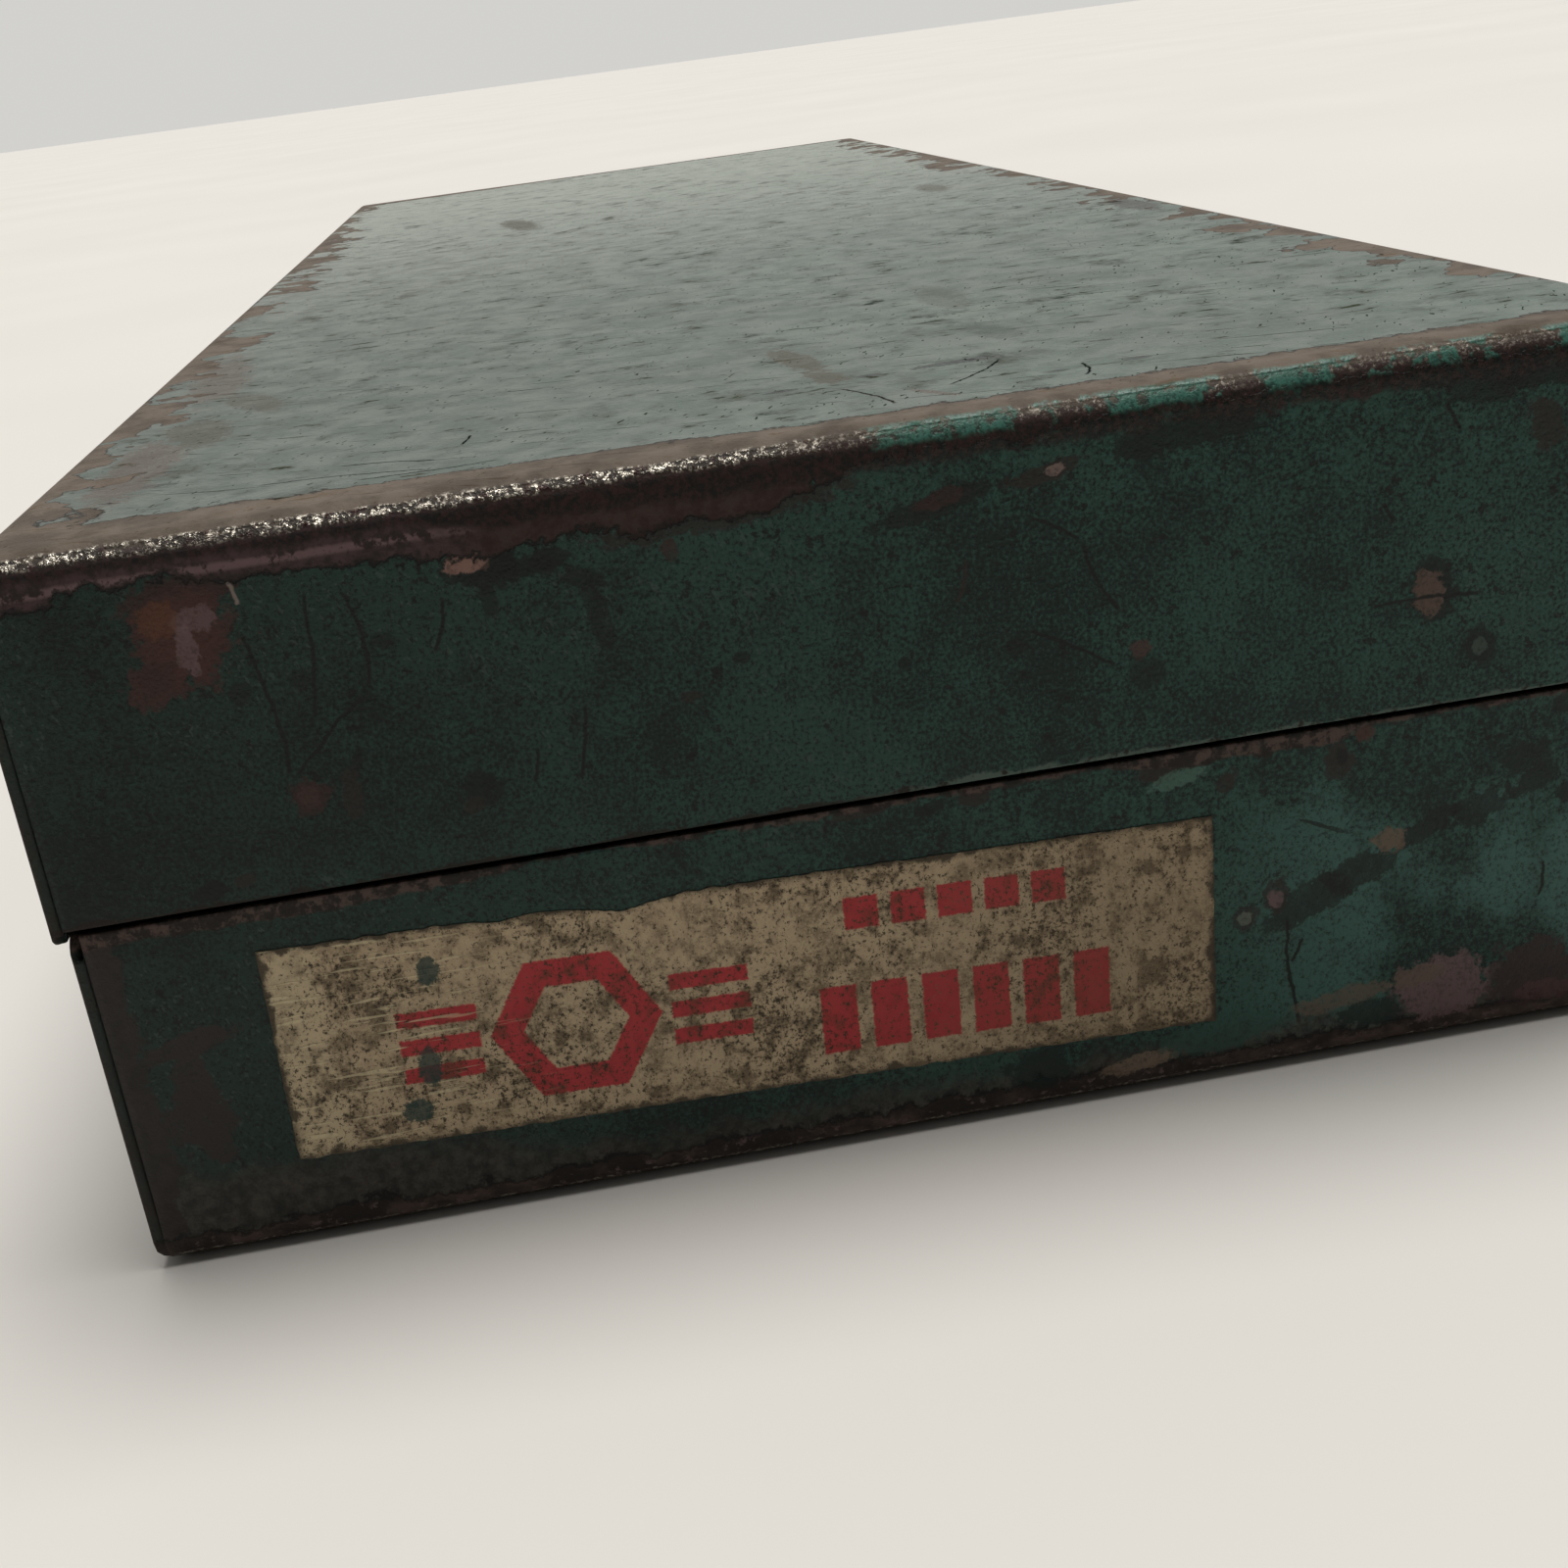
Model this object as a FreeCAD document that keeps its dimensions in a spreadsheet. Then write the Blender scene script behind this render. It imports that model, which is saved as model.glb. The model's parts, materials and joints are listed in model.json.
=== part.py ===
"""A flat steel toolbox: a folded base and a lapping lid on a full-length hinge, two snap hasps,
a rod handle on the front and a lift-out tray on two end ledges.

Frame: X along the length (the label is on the +X end), Y across the width (-Y is the front, with
the hasps and the handle; +Y is the hinge side), Z up.  The origin is the middle of the underside
that the box rests on, halfway across the lid's width.  All sizes are millimetres.
"""
import FreeCAD, Part
import os
import re
import Sketcher
from FreeCAD import Placement, Rotation, Vector

SIZES = {
    "case": {
        "length": 412.75,
        "width": 139.7,
        "height": 63.5,
        "sheet": 1.0,
        "bend_radius": 2.6,
        "seam_height": 32.4,
        "seam_gap": 0.4,
        "lap_depth": 1.2,
        "lap_clearance": 0.1,
        "corner_slit": 0.16,
        "slit_depth": 0.6,
        "corner_tab": 9.0,
        "tab_drop": 2.0,
        "rim_rounding": 0.3,
    },
    "shared fits": {
        "bore_clearance": 0.05,
        "barrel_gap": 0.3,
        "knuckle_gap": 0.3,
    },
    "rivets": {
        "rivet_radius": 1.5,
        "rivet_head_radius": 2.7,
        "rivet_head_height": 1.1,
        "rivet_tail_height": 0.8,
    },
    "hinge": {
        "hinge_pin_radius": 1.2,
        "leaf_sheet": 0.8,
        "leaf_reach": 10.0,
        "knuckle_pitch": 25.4,
        "hinge_margin": 12.0,
        "hinge_rivet_drop": 6.4,
        "hinge_rivet_inset": 12.0,
    },
    "hasps": {
        "hasp_offset": 120.0,
        "hasp_seam_rise": 6.6,
        "hasp_pin_radius": 1.1,
        "hasp_sheet": 1.0,
        "hasp_lean": 8.0,
        "bracket_width": 26.0,
        "bracket_reach": 13.0,
        "bracket_rivet_rise": 9.0,
        "bracket_rivet_span": 16.0,
        "tongue_width": 12.0,
        "hasp_width": 20.0,
        "hook_start": 12.5,
        "hook_drop": 17.0,
        "hook_reach": 1.6,
        "hook_band": 1.2,
        "finger_drop": 22.0,
        "finger_reach": 3.4,
        "catch_width": 24.0,
        "catch_top_drop": 8.4,
        "catch_foot_drop": 28.0,
        "catch_rivet_drop": 23.5,
        "catch_rivet_span": 14.0,
        "ridge_top_drop": 9.6,
        "ridge_foot_drop": 14.8,
        "ridge_slope": 1.8,
        "ridge_depth": 2.6,
    },
    "handle": {
        "handle_half_span": 45.0,
        "handle_seam_drop": 7.4,
        "handle_ground_gap": 4.0,
        "rod_radius": 2.2,
        "rod_bend": 7.0,
        "loop_sheet": 1.2,
        "loop_width": 7.0,
        "loop_side_gap": 0.5,
        "strap_reach": 16.5,
        "strap_rivet_drop": 7.0,
        "strap_rivet_span": 6.0,
    },
    "tray": {
        "tray_width": 78.0,
        "tray_side_gap": 2.2,
        "tray_end_gap": 2.4,
        "tray_seat": 10.0,
        "tray_seat_gap": 0.2,
        "tray_rim_drop": 0.8,
        "tray_sheet": 0.8,
        "tray_bend": 2.0,
        "tray_hem": 4.0,
        "ledge_sheet": 1.0,
        "ledge_reach": 8.0,
        "ledge_foot": 3.0,
        "ledge_inset": 4.0,
        "divider_foot": 8.0,
        "divider_gap": 0.15,
        "divider_head": 0.6,
        "divider_1_place": 0.46,
        "divider_2_place": -0.04,
        "divider_3_place": -0.5,
        "finger_tab_width": 24.0,
        "finger_tab_reach": 9.0,
        "finger_tab_height": 9.0,
        "finger_tab_gap": 0.15,
    },
    "label": {
        "label_length": 81.4,
        "label_sheet": 0.15,
        "label_across": -13.9,
        "label_seam_drop": 5.2,
        "label_foot": 7.2,
        "label_tilt": 1.6,
    },
}
ALIASES = {alias for group in SIZES.values() for alias in group}

# Places that several pieces share, as formulas of the sizes above.
BASE_RIM = "(seam_height - seam_gap / 2)"
LID_RIM = "(seam_height + seam_gap / 2)"
FRONT = "(width / 2)"
BACK = "(width / 2)"
BASE_FRONT = "(width / 2 - sheet - lap_clearance)"
END = "(length / 2)"
INNER_END = "(length / 2 - sheet)"
HINGE_BARREL = "(hinge_pin_radius + bore_clearance + leaf_sheet)"
HINGE_ACROSS = f"({BACK} + {HINGE_BARREL} + barrel_gap)"
KNUCKLE_PAIRS = "floor((length - 2 * hinge_margin) / (2 * knuckle_pitch) - 0.5)"
HINGE_HALF = f"(({KNUCKLE_PAIRS} + 0.5) * knuckle_pitch)"
HASP_HEIGHT = "(seam_height + hasp_seam_rise)"
HASP_BARREL = "(hasp_pin_radius + bore_clearance + hasp_sheet)"
HASP_STANDOFF = f"({HASP_BARREL} + barrel_gap)"
HASP_SHOULDER = f"({HASP_BARREL} + 2 * barrel_gap)"
CATCH_FACE = f"({HASP_STANDOFF} + sheet + lap_clearance - hasp_sheet)"
HANDLE_HEIGHT = "(seam_height - handle_seam_drop)"
HANDLE_DROP = f"({HANDLE_HEIGHT} - handle_ground_gap)"
LOOP_BARREL = "(rod_radius + bore_clearance + loop_sheet)"
LOOP_STANDOFF = f"({LOOP_BARREL} + barrel_gap)"
LOOP_PLACE = "(handle_half_span + rod_bend + loop_side_gap + loop_width / 2)"
TRUNNION_END = f"({LOOP_PLACE} + loop_width / 2 + loop_side_gap)"
TRAY_FRONT = f"({BASE_FRONT} - sheet - tray_side_gap)"
TRAY_BACK = f"({TRAY_FRONT} - tray_width)"
TRAY_MIDDLE = f"({TRAY_FRONT} - tray_width / 2)"
TRAY_END = f"({INNER_END} - tray_end_gap)"
TRAY_UNDERSIDE = "(tray_seat + tray_seat_gap)"
TRAY_FLOOR = f"({TRAY_UNDERSIDE} + tray_sheet)"
TRAY_RIM = f"({BASE_RIM} - tray_rim_drop)"
LABEL_HEAD = "(seam_height - label_seam_drop)"

SIDES = {"right": 1, "left": -1}

doc = FreeCAD.newDocument("steel_toolbox")
sizes = doc.addObject("Spreadsheet::Sheet", "sizes")


def fill_sheet():
    """Writes each size in column B under its name in column A, a blank row between groups."""
    row = 1
    for group, members in SIZES.items():
        sizes.set(f"A{row}", group)
        row += 1
        for alias, value in members.items():
            sizes.set(f"A{row}", alias)
            sizes.set(f"B{row}", str(value))
            sizes.setAlias(f"B{row}", alias)
            row += 1
        row += 1
    doc.recompute()


def formula(text):
    """The text as an expression: each size's name becomes its cell in the sheet."""
    return re.sub(r"[a-z_0-9]+", lambda found: cell_of(found[0]), text)


def cell_of(word):
    return f"sizes.{word}" if word in ALIASES else word


def value_of(text):
    """The number that a formula gives now."""
    return float(sizes.evalExpression(formula(text)))


def new_body(label, x="0", y="0", z="0", tilt=None):
    """A body whose own origin stands at x, y, z, turned by tilt degrees about -X."""
    body = doc.addObject("PartDesign::Body", label)
    body.Label = label
    for axis, text in zip("xyz", (x, y, z)):
        body.setExpression(f"Placement.Base.{axis}", formula(text))
    if tilt:
        body.Placement = Placement(body.Placement.Base, Rotation(Vector(-1, 0, 0), value_of(tilt)))
        body.setExpression("Placement.Rotation.Angle", formula(tilt))
    return body


def origin_part(body, role):
    return next(part for part in body.Origin.OriginFeatures if part.Role == role)


def new_sketch(body, name, plane, offset="0"):
    """A sketch on one of the body's planes, moved along the plane's normal (+Z, -Y or +X)."""
    sketch = body.newObject("Sketcher::SketchObject", f"{body.Name}_{name}_sketch")
    sketch.AttachmentSupport = (origin_part(body, plane), [""])
    sketch.MapMode = "FlatFace"
    sketch.setExpression("AttachmentOffset.Base.z", formula(offset))
    return sketch


def pin_point(sketch, element, vertex, place):
    """Ties one vertex to the sketch's origin by two formulas."""
    for kind, text in zip(("DistanceX", "DistanceY"), place):
        tie = Sketcher.Constraint(kind, -1, 1, element, vertex, value_of(text))
        index = sketch.addConstraint(tie)
        sketch.setExpression(f"Constraints[{index}]", formula(text))


def draw_outline(sketch, corners):
    """A closed outline of straight sides through the corners."""
    points = [Vector(value_of(x), value_of(y), 0) for x, y in corners]
    ends = points[1:] + points[:1]
    lines = [sketch.addGeometry(Part.LineSegment(a, b), False) for a, b in zip(points, ends)]
    for line, following in zip(lines, lines[1:] + lines[:1]):
        sketch.addConstraint(Sketcher.Constraint("Coincident", line, 2, following, 1))
    for line, corner in zip(lines, corners):
        pin_point(sketch, line, 1, corner)


def draw_rectangle(sketch, left, right, low, high):
    draw_outline(sketch, [(left, low), (right, low), (right, high), (left, high)])


def draw_circle(sketch, x, y, radius):
    centre = Vector(value_of(x), value_of(y), 0)
    circle = sketch.addGeometry(Part.Circle(centre, Vector(0, 0, 1), value_of(radius)), False)
    pin_point(sketch, circle, 3, (x, y))
    index = sketch.addConstraint(Sketcher.Constraint("Radius", circle, value_of(radius)))
    sketch.setExpression(f"Constraints[{index}]", formula(radius))


def extrude(body, kind, name, sketch, length, reverse=False, symmetric=False):
    """A pad or a pocket of the sketch.  A pad follows the sketch's normal, a pocket goes against it."""
    feature = body.newObject(f"PartDesign::{kind}", f"{body.Name}_{name}")
    feature.Profile = sketch
    feature.Reversed = reverse
    if symmetric:
        feature.SideType = "Symmetric"
    feature.setExpression("Length", formula(length))
    sketch.Visibility = False
    doc.recompute()
    return feature


def pad(body, name, sketch, length, **options):
    return extrude(body, "Pad", name, sketch, length, **options)


def pocket(body, name, sketch, length, **options):
    """A pocket, checked to have taken something away."""
    before = body.Shape.Volume
    feature = extrude(body, "Pocket", name, sketch, length, **options)
    if feature.Shape.Volume >= before:
        raise ValueError(f"{feature.Name} cuts nothing")
    return feature


def round_edges(body, name, radius, chosen):
    """Fillets the edges of the body so far for which chosen(edge's box) is true."""
    base = body.Tip
    edges = [f"Edge{n}" for n, edge in enumerate(base.Shape.Edges, 1) if chosen(edge.BoundBox)]
    if not edges:
        raise ValueError(f"{body.Name}_{name} finds no edge")
    feature = body.newObject("PartDesign::Fillet", f"{body.Name}_{name}")
    feature.Base = (base, edges)
    feature.setExpression("Radius", formula(radius))
    doc.recompute()


def at(value, place, slack=0.01):
    """True where a coordinate lies at a place given by a formula."""
    return abs(value - value_of(place)) < slack


def level_at(box, place):
    """True for an edge that lies wholly at one height."""
    return at(box.ZMin, place) and at(box.ZMax, place)


def add_corner_tabs(body, front, back, low, high):
    """The ends of the end walls, folded inward and lying against the long walls."""
    sketch = new_sketch(body, "corner_tabs", "XY_Plane", low)
    for side in SIDES.values():
        inner, outer = f"{side} * ({INNER_END} - corner_tab)", f"{side} * {INNER_END}"
        draw_rectangle(sketch, inner, outer, f"-({front} - sheet)", f"-({front} - 2 * sheet)")
        draw_rectangle(sketch, inner, outer, f"{back} - 2 * sheet", f"{back} - sheet")
    pad(body, "corner_tabs", sketch, f"{high} - {low}")


def cut_corner_slits(body, front, back, start, length, upward):
    """The open line at each corner where a long wall's raw edge laps an end wall."""
    sketch = new_sketch(body, "corner_slits", "XY_Plane", start)
    for side in SIDES.values():
        for wall in (f"-({front} - sheet)", f"({back} - sheet)"):
            near, far = f"{wall} - corner_slit / 2", f"{wall} + corner_slit / 2"
            draw_rectangle(sketch, f"{side} * ({END} - slit_depth)", f"{side} * {END}", near, far)
    pocket(body, "corner_slits", sketch, length, reverse=upward)


def drill(body, name, places, outward, face, depth):
    """Rivet holes through a long wall: outward is 1 for the front (-Y) and -1 for the back (+Y)."""
    sketch = new_sketch(body, name, "XZ_Plane", f"{outward} * {face}")
    for x, z in places:
        draw_circle(sketch, x, z, "rivet_radius + bore_clearance")
    pocket(body, name, sketch, depth, reverse=outward < 0)


def rivet_group(label, places, outward, head_face, grip):
    """Identical rivets with round heads outside and flat tails inside a long wall."""
    body = new_body(label)

    def discs(name, face, radius, length, reverse):
        sketch = new_sketch(body, name, "XZ_Plane", f"{outward} * ({face})")
        for x, z in places:
            draw_circle(sketch, x, z, radius)
        pad(body, name, sketch, length, reverse=reverse)

    discs("shanks", head_face, "rivet_radius", grip, outward > 0)
    discs("heads", head_face, "rivet_head_radius", "rivet_head_height", outward < 0)
    crown = f"{-outward} * ({head_face} + rivet_head_height)"
    round_edges(
        body, "crowns", "rivet_head_height * 0.85",
        lambda box: at(box.YMin, crown) and at(box.YMax, crown),
    )
    discs("tails", f"{head_face} - ({grip})", "rivet_head_radius * 0.85", "rivet_tail_height", outward > 0)


def hinge_rivets(direction):
    """Where the leaf above (1) or below (-1) the hinge line is riveted."""
    height = f"seam_height + {direction} * hinge_rivet_drop"
    return [(f"{k} * ({HINGE_HALF} - hinge_rivet_inset) / 3", height) for k in range(-3, 4)]


def pairs(middle, span, height):
    """Two places side by side about each of two middles, one on each side of the box."""
    return [(f"{side} * {middle} + {k} * {span} / 2", height) for side in SIDES.values() for k in (1, -1)]


BRACKET_RIVETS = pairs("hasp_offset", "bracket_rivet_span", f"{HASP_HEIGHT} + bracket_rivet_rise")
CATCH_RIVETS = pairs("hasp_offset", "catch_rivet_span", f"{HASP_HEIGHT} - catch_rivet_drop")
STRAP_RIVETS = [
    (f"{side} * {LOOP_PLACE}", f"{HANDLE_HEIGHT} - strap_rivet_drop - {k} * strap_rivet_span")
    for side in SIDES.values()
    for k in (0, 1)
]


def make_base_shell():
    body = new_body("base_shell")
    block = new_sketch(body, "block", "XY_Plane")
    draw_rectangle(block, f"-{END}", END, f"-{BASE_FRONT}", BACK)
    pad(body, "block", block, BASE_RIM)
    round_edges(body, "outer_bends", "bend_radius", lambda box: level_at(box, "0"))
    hollow = new_sketch(body, "hollow", "XY_Plane", BASE_RIM)
    draw_rectangle(hollow, f"-{INNER_END}", INNER_END, f"-({BASE_FRONT} - sheet)", f"{BACK} - sheet")
    pocket(body, "hollow", hollow, f"{BASE_RIM} - sheet")
    inner_edge = value_of(f"{INNER_END}") + 0.01
    round_edges(
        body, "inner_bends", "bend_radius - sheet",
        lambda box: level_at(box, "sheet") and max(-box.XMin, box.XMax) < inner_edge,
    )
    add_corner_tabs(body, BASE_FRONT, BACK, "sheet / 2", f"({BASE_RIM} - tab_drop)")
    cut_corner_slits(body, BASE_FRONT, BACK, BASE_RIM, f"{BASE_RIM} - bend_radius", upward=False)
    drill(body, "catch_holes", CATCH_RIVETS, 1, BASE_FRONT, "2 * sheet")
    drill(body, "handle_holes", STRAP_RIVETS, 1, BASE_FRONT, "2 * sheet")
    drill(body, "hinge_holes", hinge_rivets(-1), -1, BACK, "2 * sheet")


def make_lid_shell():
    body = new_body("lid_shell")
    block = new_sketch(body, "block", "XY_Plane", LID_RIM)
    draw_rectangle(block, f"-{END}", END, f"-{FRONT}", BACK)
    pad(body, "block", block, f"height - {LID_RIM}")
    round_edges(body, "outer_bends", "bend_radius", lambda box: level_at(box, "height"))
    hollow = new_sketch(body, "hollow", "XY_Plane", LID_RIM)
    draw_rectangle(hollow, f"-{INNER_END}", INNER_END, f"-({FRONT} - sheet)", f"{BACK} - sheet")
    pocket(body, "hollow", hollow, f"height - sheet - {LID_RIM}", reverse=True)
    round_edges(body, "inner_bends", "bend_radius - sheet", lambda box: level_at(box, "height - sheet"))
    lap_foot = f"{LID_RIM} - lap_depth"
    lap = new_sketch(body, "lap", "XY_Plane", lap_foot)
    draw_rectangle(lap, f"-{END}", END, f"-{FRONT}", f"-({FRONT} - sheet)")
    pad(body, "lap", lap, "lap_depth")
    round_edges(
        body, "lap_corners", "lap_depth * 0.7",
        lambda box: at(abs(box.XMin), END) and box.XLength < 0.01 and level_at(box, lap_foot),
    )
    add_corner_tabs(body, FRONT, BACK, f"({LID_RIM} + tab_drop)", "(height - sheet / 2)")
    cut_corner_slits(body, FRONT, BACK, LID_RIM, f"height - bend_radius - {LID_RIM}", upward=True)
    drill(body, "hasp_holes", BRACKET_RIVETS, 1, FRONT, "2 * sheet")
    drill(body, "hinge_holes", hinge_rivets(1), -1, BACK, "2 * sheet")


def make_hinge_leaf(label, direction, first):
    """One leaf above (1) or below (-1) the hinge line, with every other knuckle from the first."""
    body = new_body(label, y=HINGE_ACROSS, z="seam_height")
    other = 1 - first
    counts = (f"{KNUCKLE_PAIRS} + 1", KNUCKLE_PAIRS)
    to_wall = f"({HINGE_BARREL} + barrel_gap)"
    leaf = new_sketch(body, "leaf", "XZ_Plane", to_wall)
    top, foot = ("leaf_reach", "seam_gap") if direction > 0 else ("-seam_gap", "-leaf_reach")
    draw_rectangle(leaf, f"-{HINGE_HALF}", HINGE_HALF, foot, top)
    pad(body, "leaf", leaf, "leaf_sheet", reverse=True)
    knuckle_start = f"-{HINGE_HALF} + {first} * knuckle_pitch + knuckle_gap / 2"
    knuckle = new_sketch(body, "knuckle", "YZ_Plane", knuckle_start)
    draw_circle(knuckle, "0", "0", HINGE_BARREL)
    row = pad(body, "knuckle", knuckle, "knuckle_pitch - knuckle_gap")
    repeat_along_length(body, "knuckles", row, counts[first])
    depth = f"{HINGE_BARREL} + 2 * barrel_gap"
    low, high = ("0", depth) if direction > 0 else (f"-({depth})", "0")
    notch = new_sketch(body, "notch", "XZ_Plane", to_wall)
    start = f"-{HINGE_HALF} + {other} * knuckle_pitch - knuckle_gap / 2"
    draw_rectangle(notch, start, f"{start} + knuckle_pitch + knuckle_gap", low, high)
    gap = pocket(body, "notch", notch, "leaf_sheet")
    repeat_along_length(body, "notches", gap, counts[other])
    bore = new_sketch(body, "bore", "YZ_Plane")
    draw_circle(bore, "0", "0", "hinge_pin_radius + bore_clearance")
    pocket(body, "bore", bore, f"2 * {HINGE_HALF}", symmetric=True)
    holes = [(x, f"{direction} * hinge_rivet_drop") for x, _ in hinge_rivets(direction)]
    drill(body, "rivet_holes", holes, -1, f"(leaf_sheet - {to_wall})", "leaf_sheet")


def repeat_along_length(body, name, feature, count):
    """Repeats a feature along X, two knuckle pitches apart."""
    pattern = body.newObject("PartDesign::LinearPattern", f"{body.Name}_{name}")
    pattern.Originals = [feature]
    pattern.Direction = (origin_part(body, "X_Axis"), [""])
    pattern.Mode = "Spacing"
    pattern.setExpression("Offset", formula("2 * knuckle_pitch"))
    pattern.setExpression("Occurrences", formula(count))
    body.Tip = pattern
    doc.recompute()


def make_hinge():
    make_hinge_leaf("hinge_leaf_base", -1, 0)
    make_hinge_leaf("hinge_leaf_lid", 1, 1)
    pin = new_body("hinge_pin", y=HINGE_ACROSS, z="seam_height")
    section = new_sketch(pin, "section", "YZ_Plane")
    draw_circle(section, "0", "0", "hinge_pin_radius")
    pad(pin, "rod", section, f"2 * {HINGE_HALF}", symmetric=True)
    face = f"{BACK} + leaf_sheet"
    rivet_group("hinge_rivets_base", hinge_rivets(-1), -1, face, "leaf_sheet + sheet")
    rivet_group("hinge_rivets_lid", hinge_rivets(1), -1, face, "leaf_sheet + sheet")


def add_barrel(body, name, middle, length, radius):
    """A knuckle on the body's X axis, centred at middle."""
    sketch = new_sketch(body, name, "YZ_Plane", f"{middle} - ({length}) / 2")
    draw_circle(sketch, "0", "0", radius)
    pad(body, name, sketch, length)


def bore_along_x(body, radius, length):
    sketch = new_sketch(body, "bore", "YZ_Plane")
    draw_circle(sketch, "0", "0", radius)
    pocket(body, "bore", sketch, length, symmetric=True)


def hasp_body(label, side, tilt=None):
    """A body whose X axis is the pin of the hasp on that side."""
    return new_body(label, f"{side} * hasp_offset", f"-({FRONT} + {HASP_STANDOFF})", HASP_HEIGHT, tilt)


def make_hasp_bracket(word, side):
    """The hanger riveted to the lid, rolled into a knuckle at each side of the hasp's tongue."""
    body = hasp_body(f"hasp_bracket_{word}", side)
    plate = new_sketch(body, "plate", "XZ_Plane", f"-{HASP_STANDOFF}")
    draw_rectangle(plate, "-bracket_width / 2", "bracket_width / 2", "0", "bracket_reach")
    pad(body, "plate", plate, "hasp_sheet")
    round_edges(
        body, "corners", "hasp_sheet * 2",
        lambda box: level_at(box, "bracket_reach") and box.XLength < 0.01,
    )
    knuckle = "(bracket_width - tongue_width) / 2 - knuckle_gap"
    for hand, sign in SIDES.items():
        middle = f"{sign} * (bracket_width - ({knuckle})) / 2"
        add_barrel(body, f"knuckle_{hand}", middle, knuckle, HASP_BARREL)
    notch = new_sketch(body, "notch", "XZ_Plane", f"-{HASP_STANDOFF}")
    half_notch = "(tongue_width / 2 + knuckle_gap)"
    draw_rectangle(notch, f"-{half_notch}", half_notch, f"-{HASP_SHOULDER}", HASP_SHOULDER)
    pocket(body, "notch", notch, f"2 * {HASP_STANDOFF}", reverse=True)
    bore_along_x(body, "hasp_pin_radius + bore_clearance", "bracket_width")
    holes = [(f"{k} * bracket_rivet_span / 2", "bracket_rivet_rise") for k in (1, -1)]
    drill(body, "rivet_holes", holes, 1, f"(hasp_sheet - {HASP_STANDOFF})", "hasp_sheet")


def make_hasp_plate(word, side):
    """The swinging hasp, drawn snapped shut and hung unsnapped: a hook bent inward to go under the
    catch's ridge, then a flare for the finger.
    """
    body = hasp_body(f"hasp_plate_{word}", side, "hasp_lean")
    face = HASP_BARREL
    inner = f"-({face} - hasp_sheet)"
    outline = [
        (f"-{face}", f"-{HASP_SHOULDER}"),
        (f"-{face}", "-hook_start"),
        ("hook_reach - hook_band", "-hook_drop"),
        ("-(finger_reach + hook_band)", "-finger_drop"),
        ("-finger_reach", "-finger_drop"),
        ("hook_reach", "-hook_drop"),
        (inner, "-hook_start"),
        (inner, f"-{HASP_SHOULDER}"),
    ]
    strip = new_sketch(body, "strip", "YZ_Plane")
    draw_outline(strip, outline)
    pad(body, "strip", strip, "hasp_width", symmetric=True)
    tongue = new_sketch(body, "tongue", "YZ_Plane")
    draw_rectangle(tongue, f"-{face}", inner, f"-({HASP_SHOULDER} + hasp_sheet)", "0")
    pad(body, "tongue", tongue, "tongue_width", symmetric=True)
    add_barrel(body, "knuckle", "0", "tongue_width", HASP_BARREL)
    bore_along_x(body, "hasp_pin_radius + bore_clearance", "tongue_width")


def make_hasp_pin(word, side):
    pin = hasp_body(f"hasp_pin_{word}", side)
    section = new_sketch(pin, "section", "YZ_Plane")
    draw_circle(section, "0", "0", "hasp_pin_radius")
    pad(pin, "rod", section, "bracket_width + hasp_pin_radius", symmetric=True)


def make_hasp_catch(word, side):
    """The plate riveted to the base, with a pressed ridge that the hook snaps under."""
    body = hasp_body(f"hasp_catch_{word}", side)
    plate = new_sketch(body, "plate", "XZ_Plane", f"-{CATCH_FACE}")
    draw_rectangle(plate, "-catch_width / 2", "catch_width / 2", "-catch_foot_drop", "-catch_top_drop")
    pad(body, "plate", plate, "hasp_sheet", reverse=True)
    ridge = new_sketch(body, "ridge", "YZ_Plane")
    tip = f"{CATCH_FACE} - ridge_depth"
    draw_outline(ridge, [
        (CATCH_FACE, "-ridge_top_drop"),
        (tip, "-(ridge_top_drop + ridge_slope)"),
        (tip, "-(ridge_foot_drop - ridge_slope)"),
        (CATCH_FACE, "-ridge_foot_drop"),
    ])
    pad(body, "ridge", ridge, "hasp_width", symmetric=True)
    holes = [(f"{k} * catch_rivet_span / 2", "-catch_rivet_drop") for k in (1, -1)]
    drill(body, "rivet_holes", holes, 1, f"(-{CATCH_FACE})", "hasp_sheet")


def make_hasps():
    for word, side in SIDES.items():
        make_hasp_bracket(word, side)
        make_hasp_plate(word, side)
        make_hasp_pin(word, side)
        make_hasp_catch(word, side)
    rivet_group("hasp_rivets", BRACKET_RIVETS, 1, f"({FRONT} + hasp_sheet)", "hasp_sheet + sheet")
    rivet_group("catch_rivets", CATCH_RIVETS, 1, f"({BASE_FRONT} + hasp_sheet)", "hasp_sheet + sheet")


def handle_body(label):
    """A body whose X axis is the handle's pivot line."""
    return new_body(label, "0", f"-({BASE_FRONT} + {LOOP_STANDOFF})", HANDLE_HEIGHT)


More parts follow.
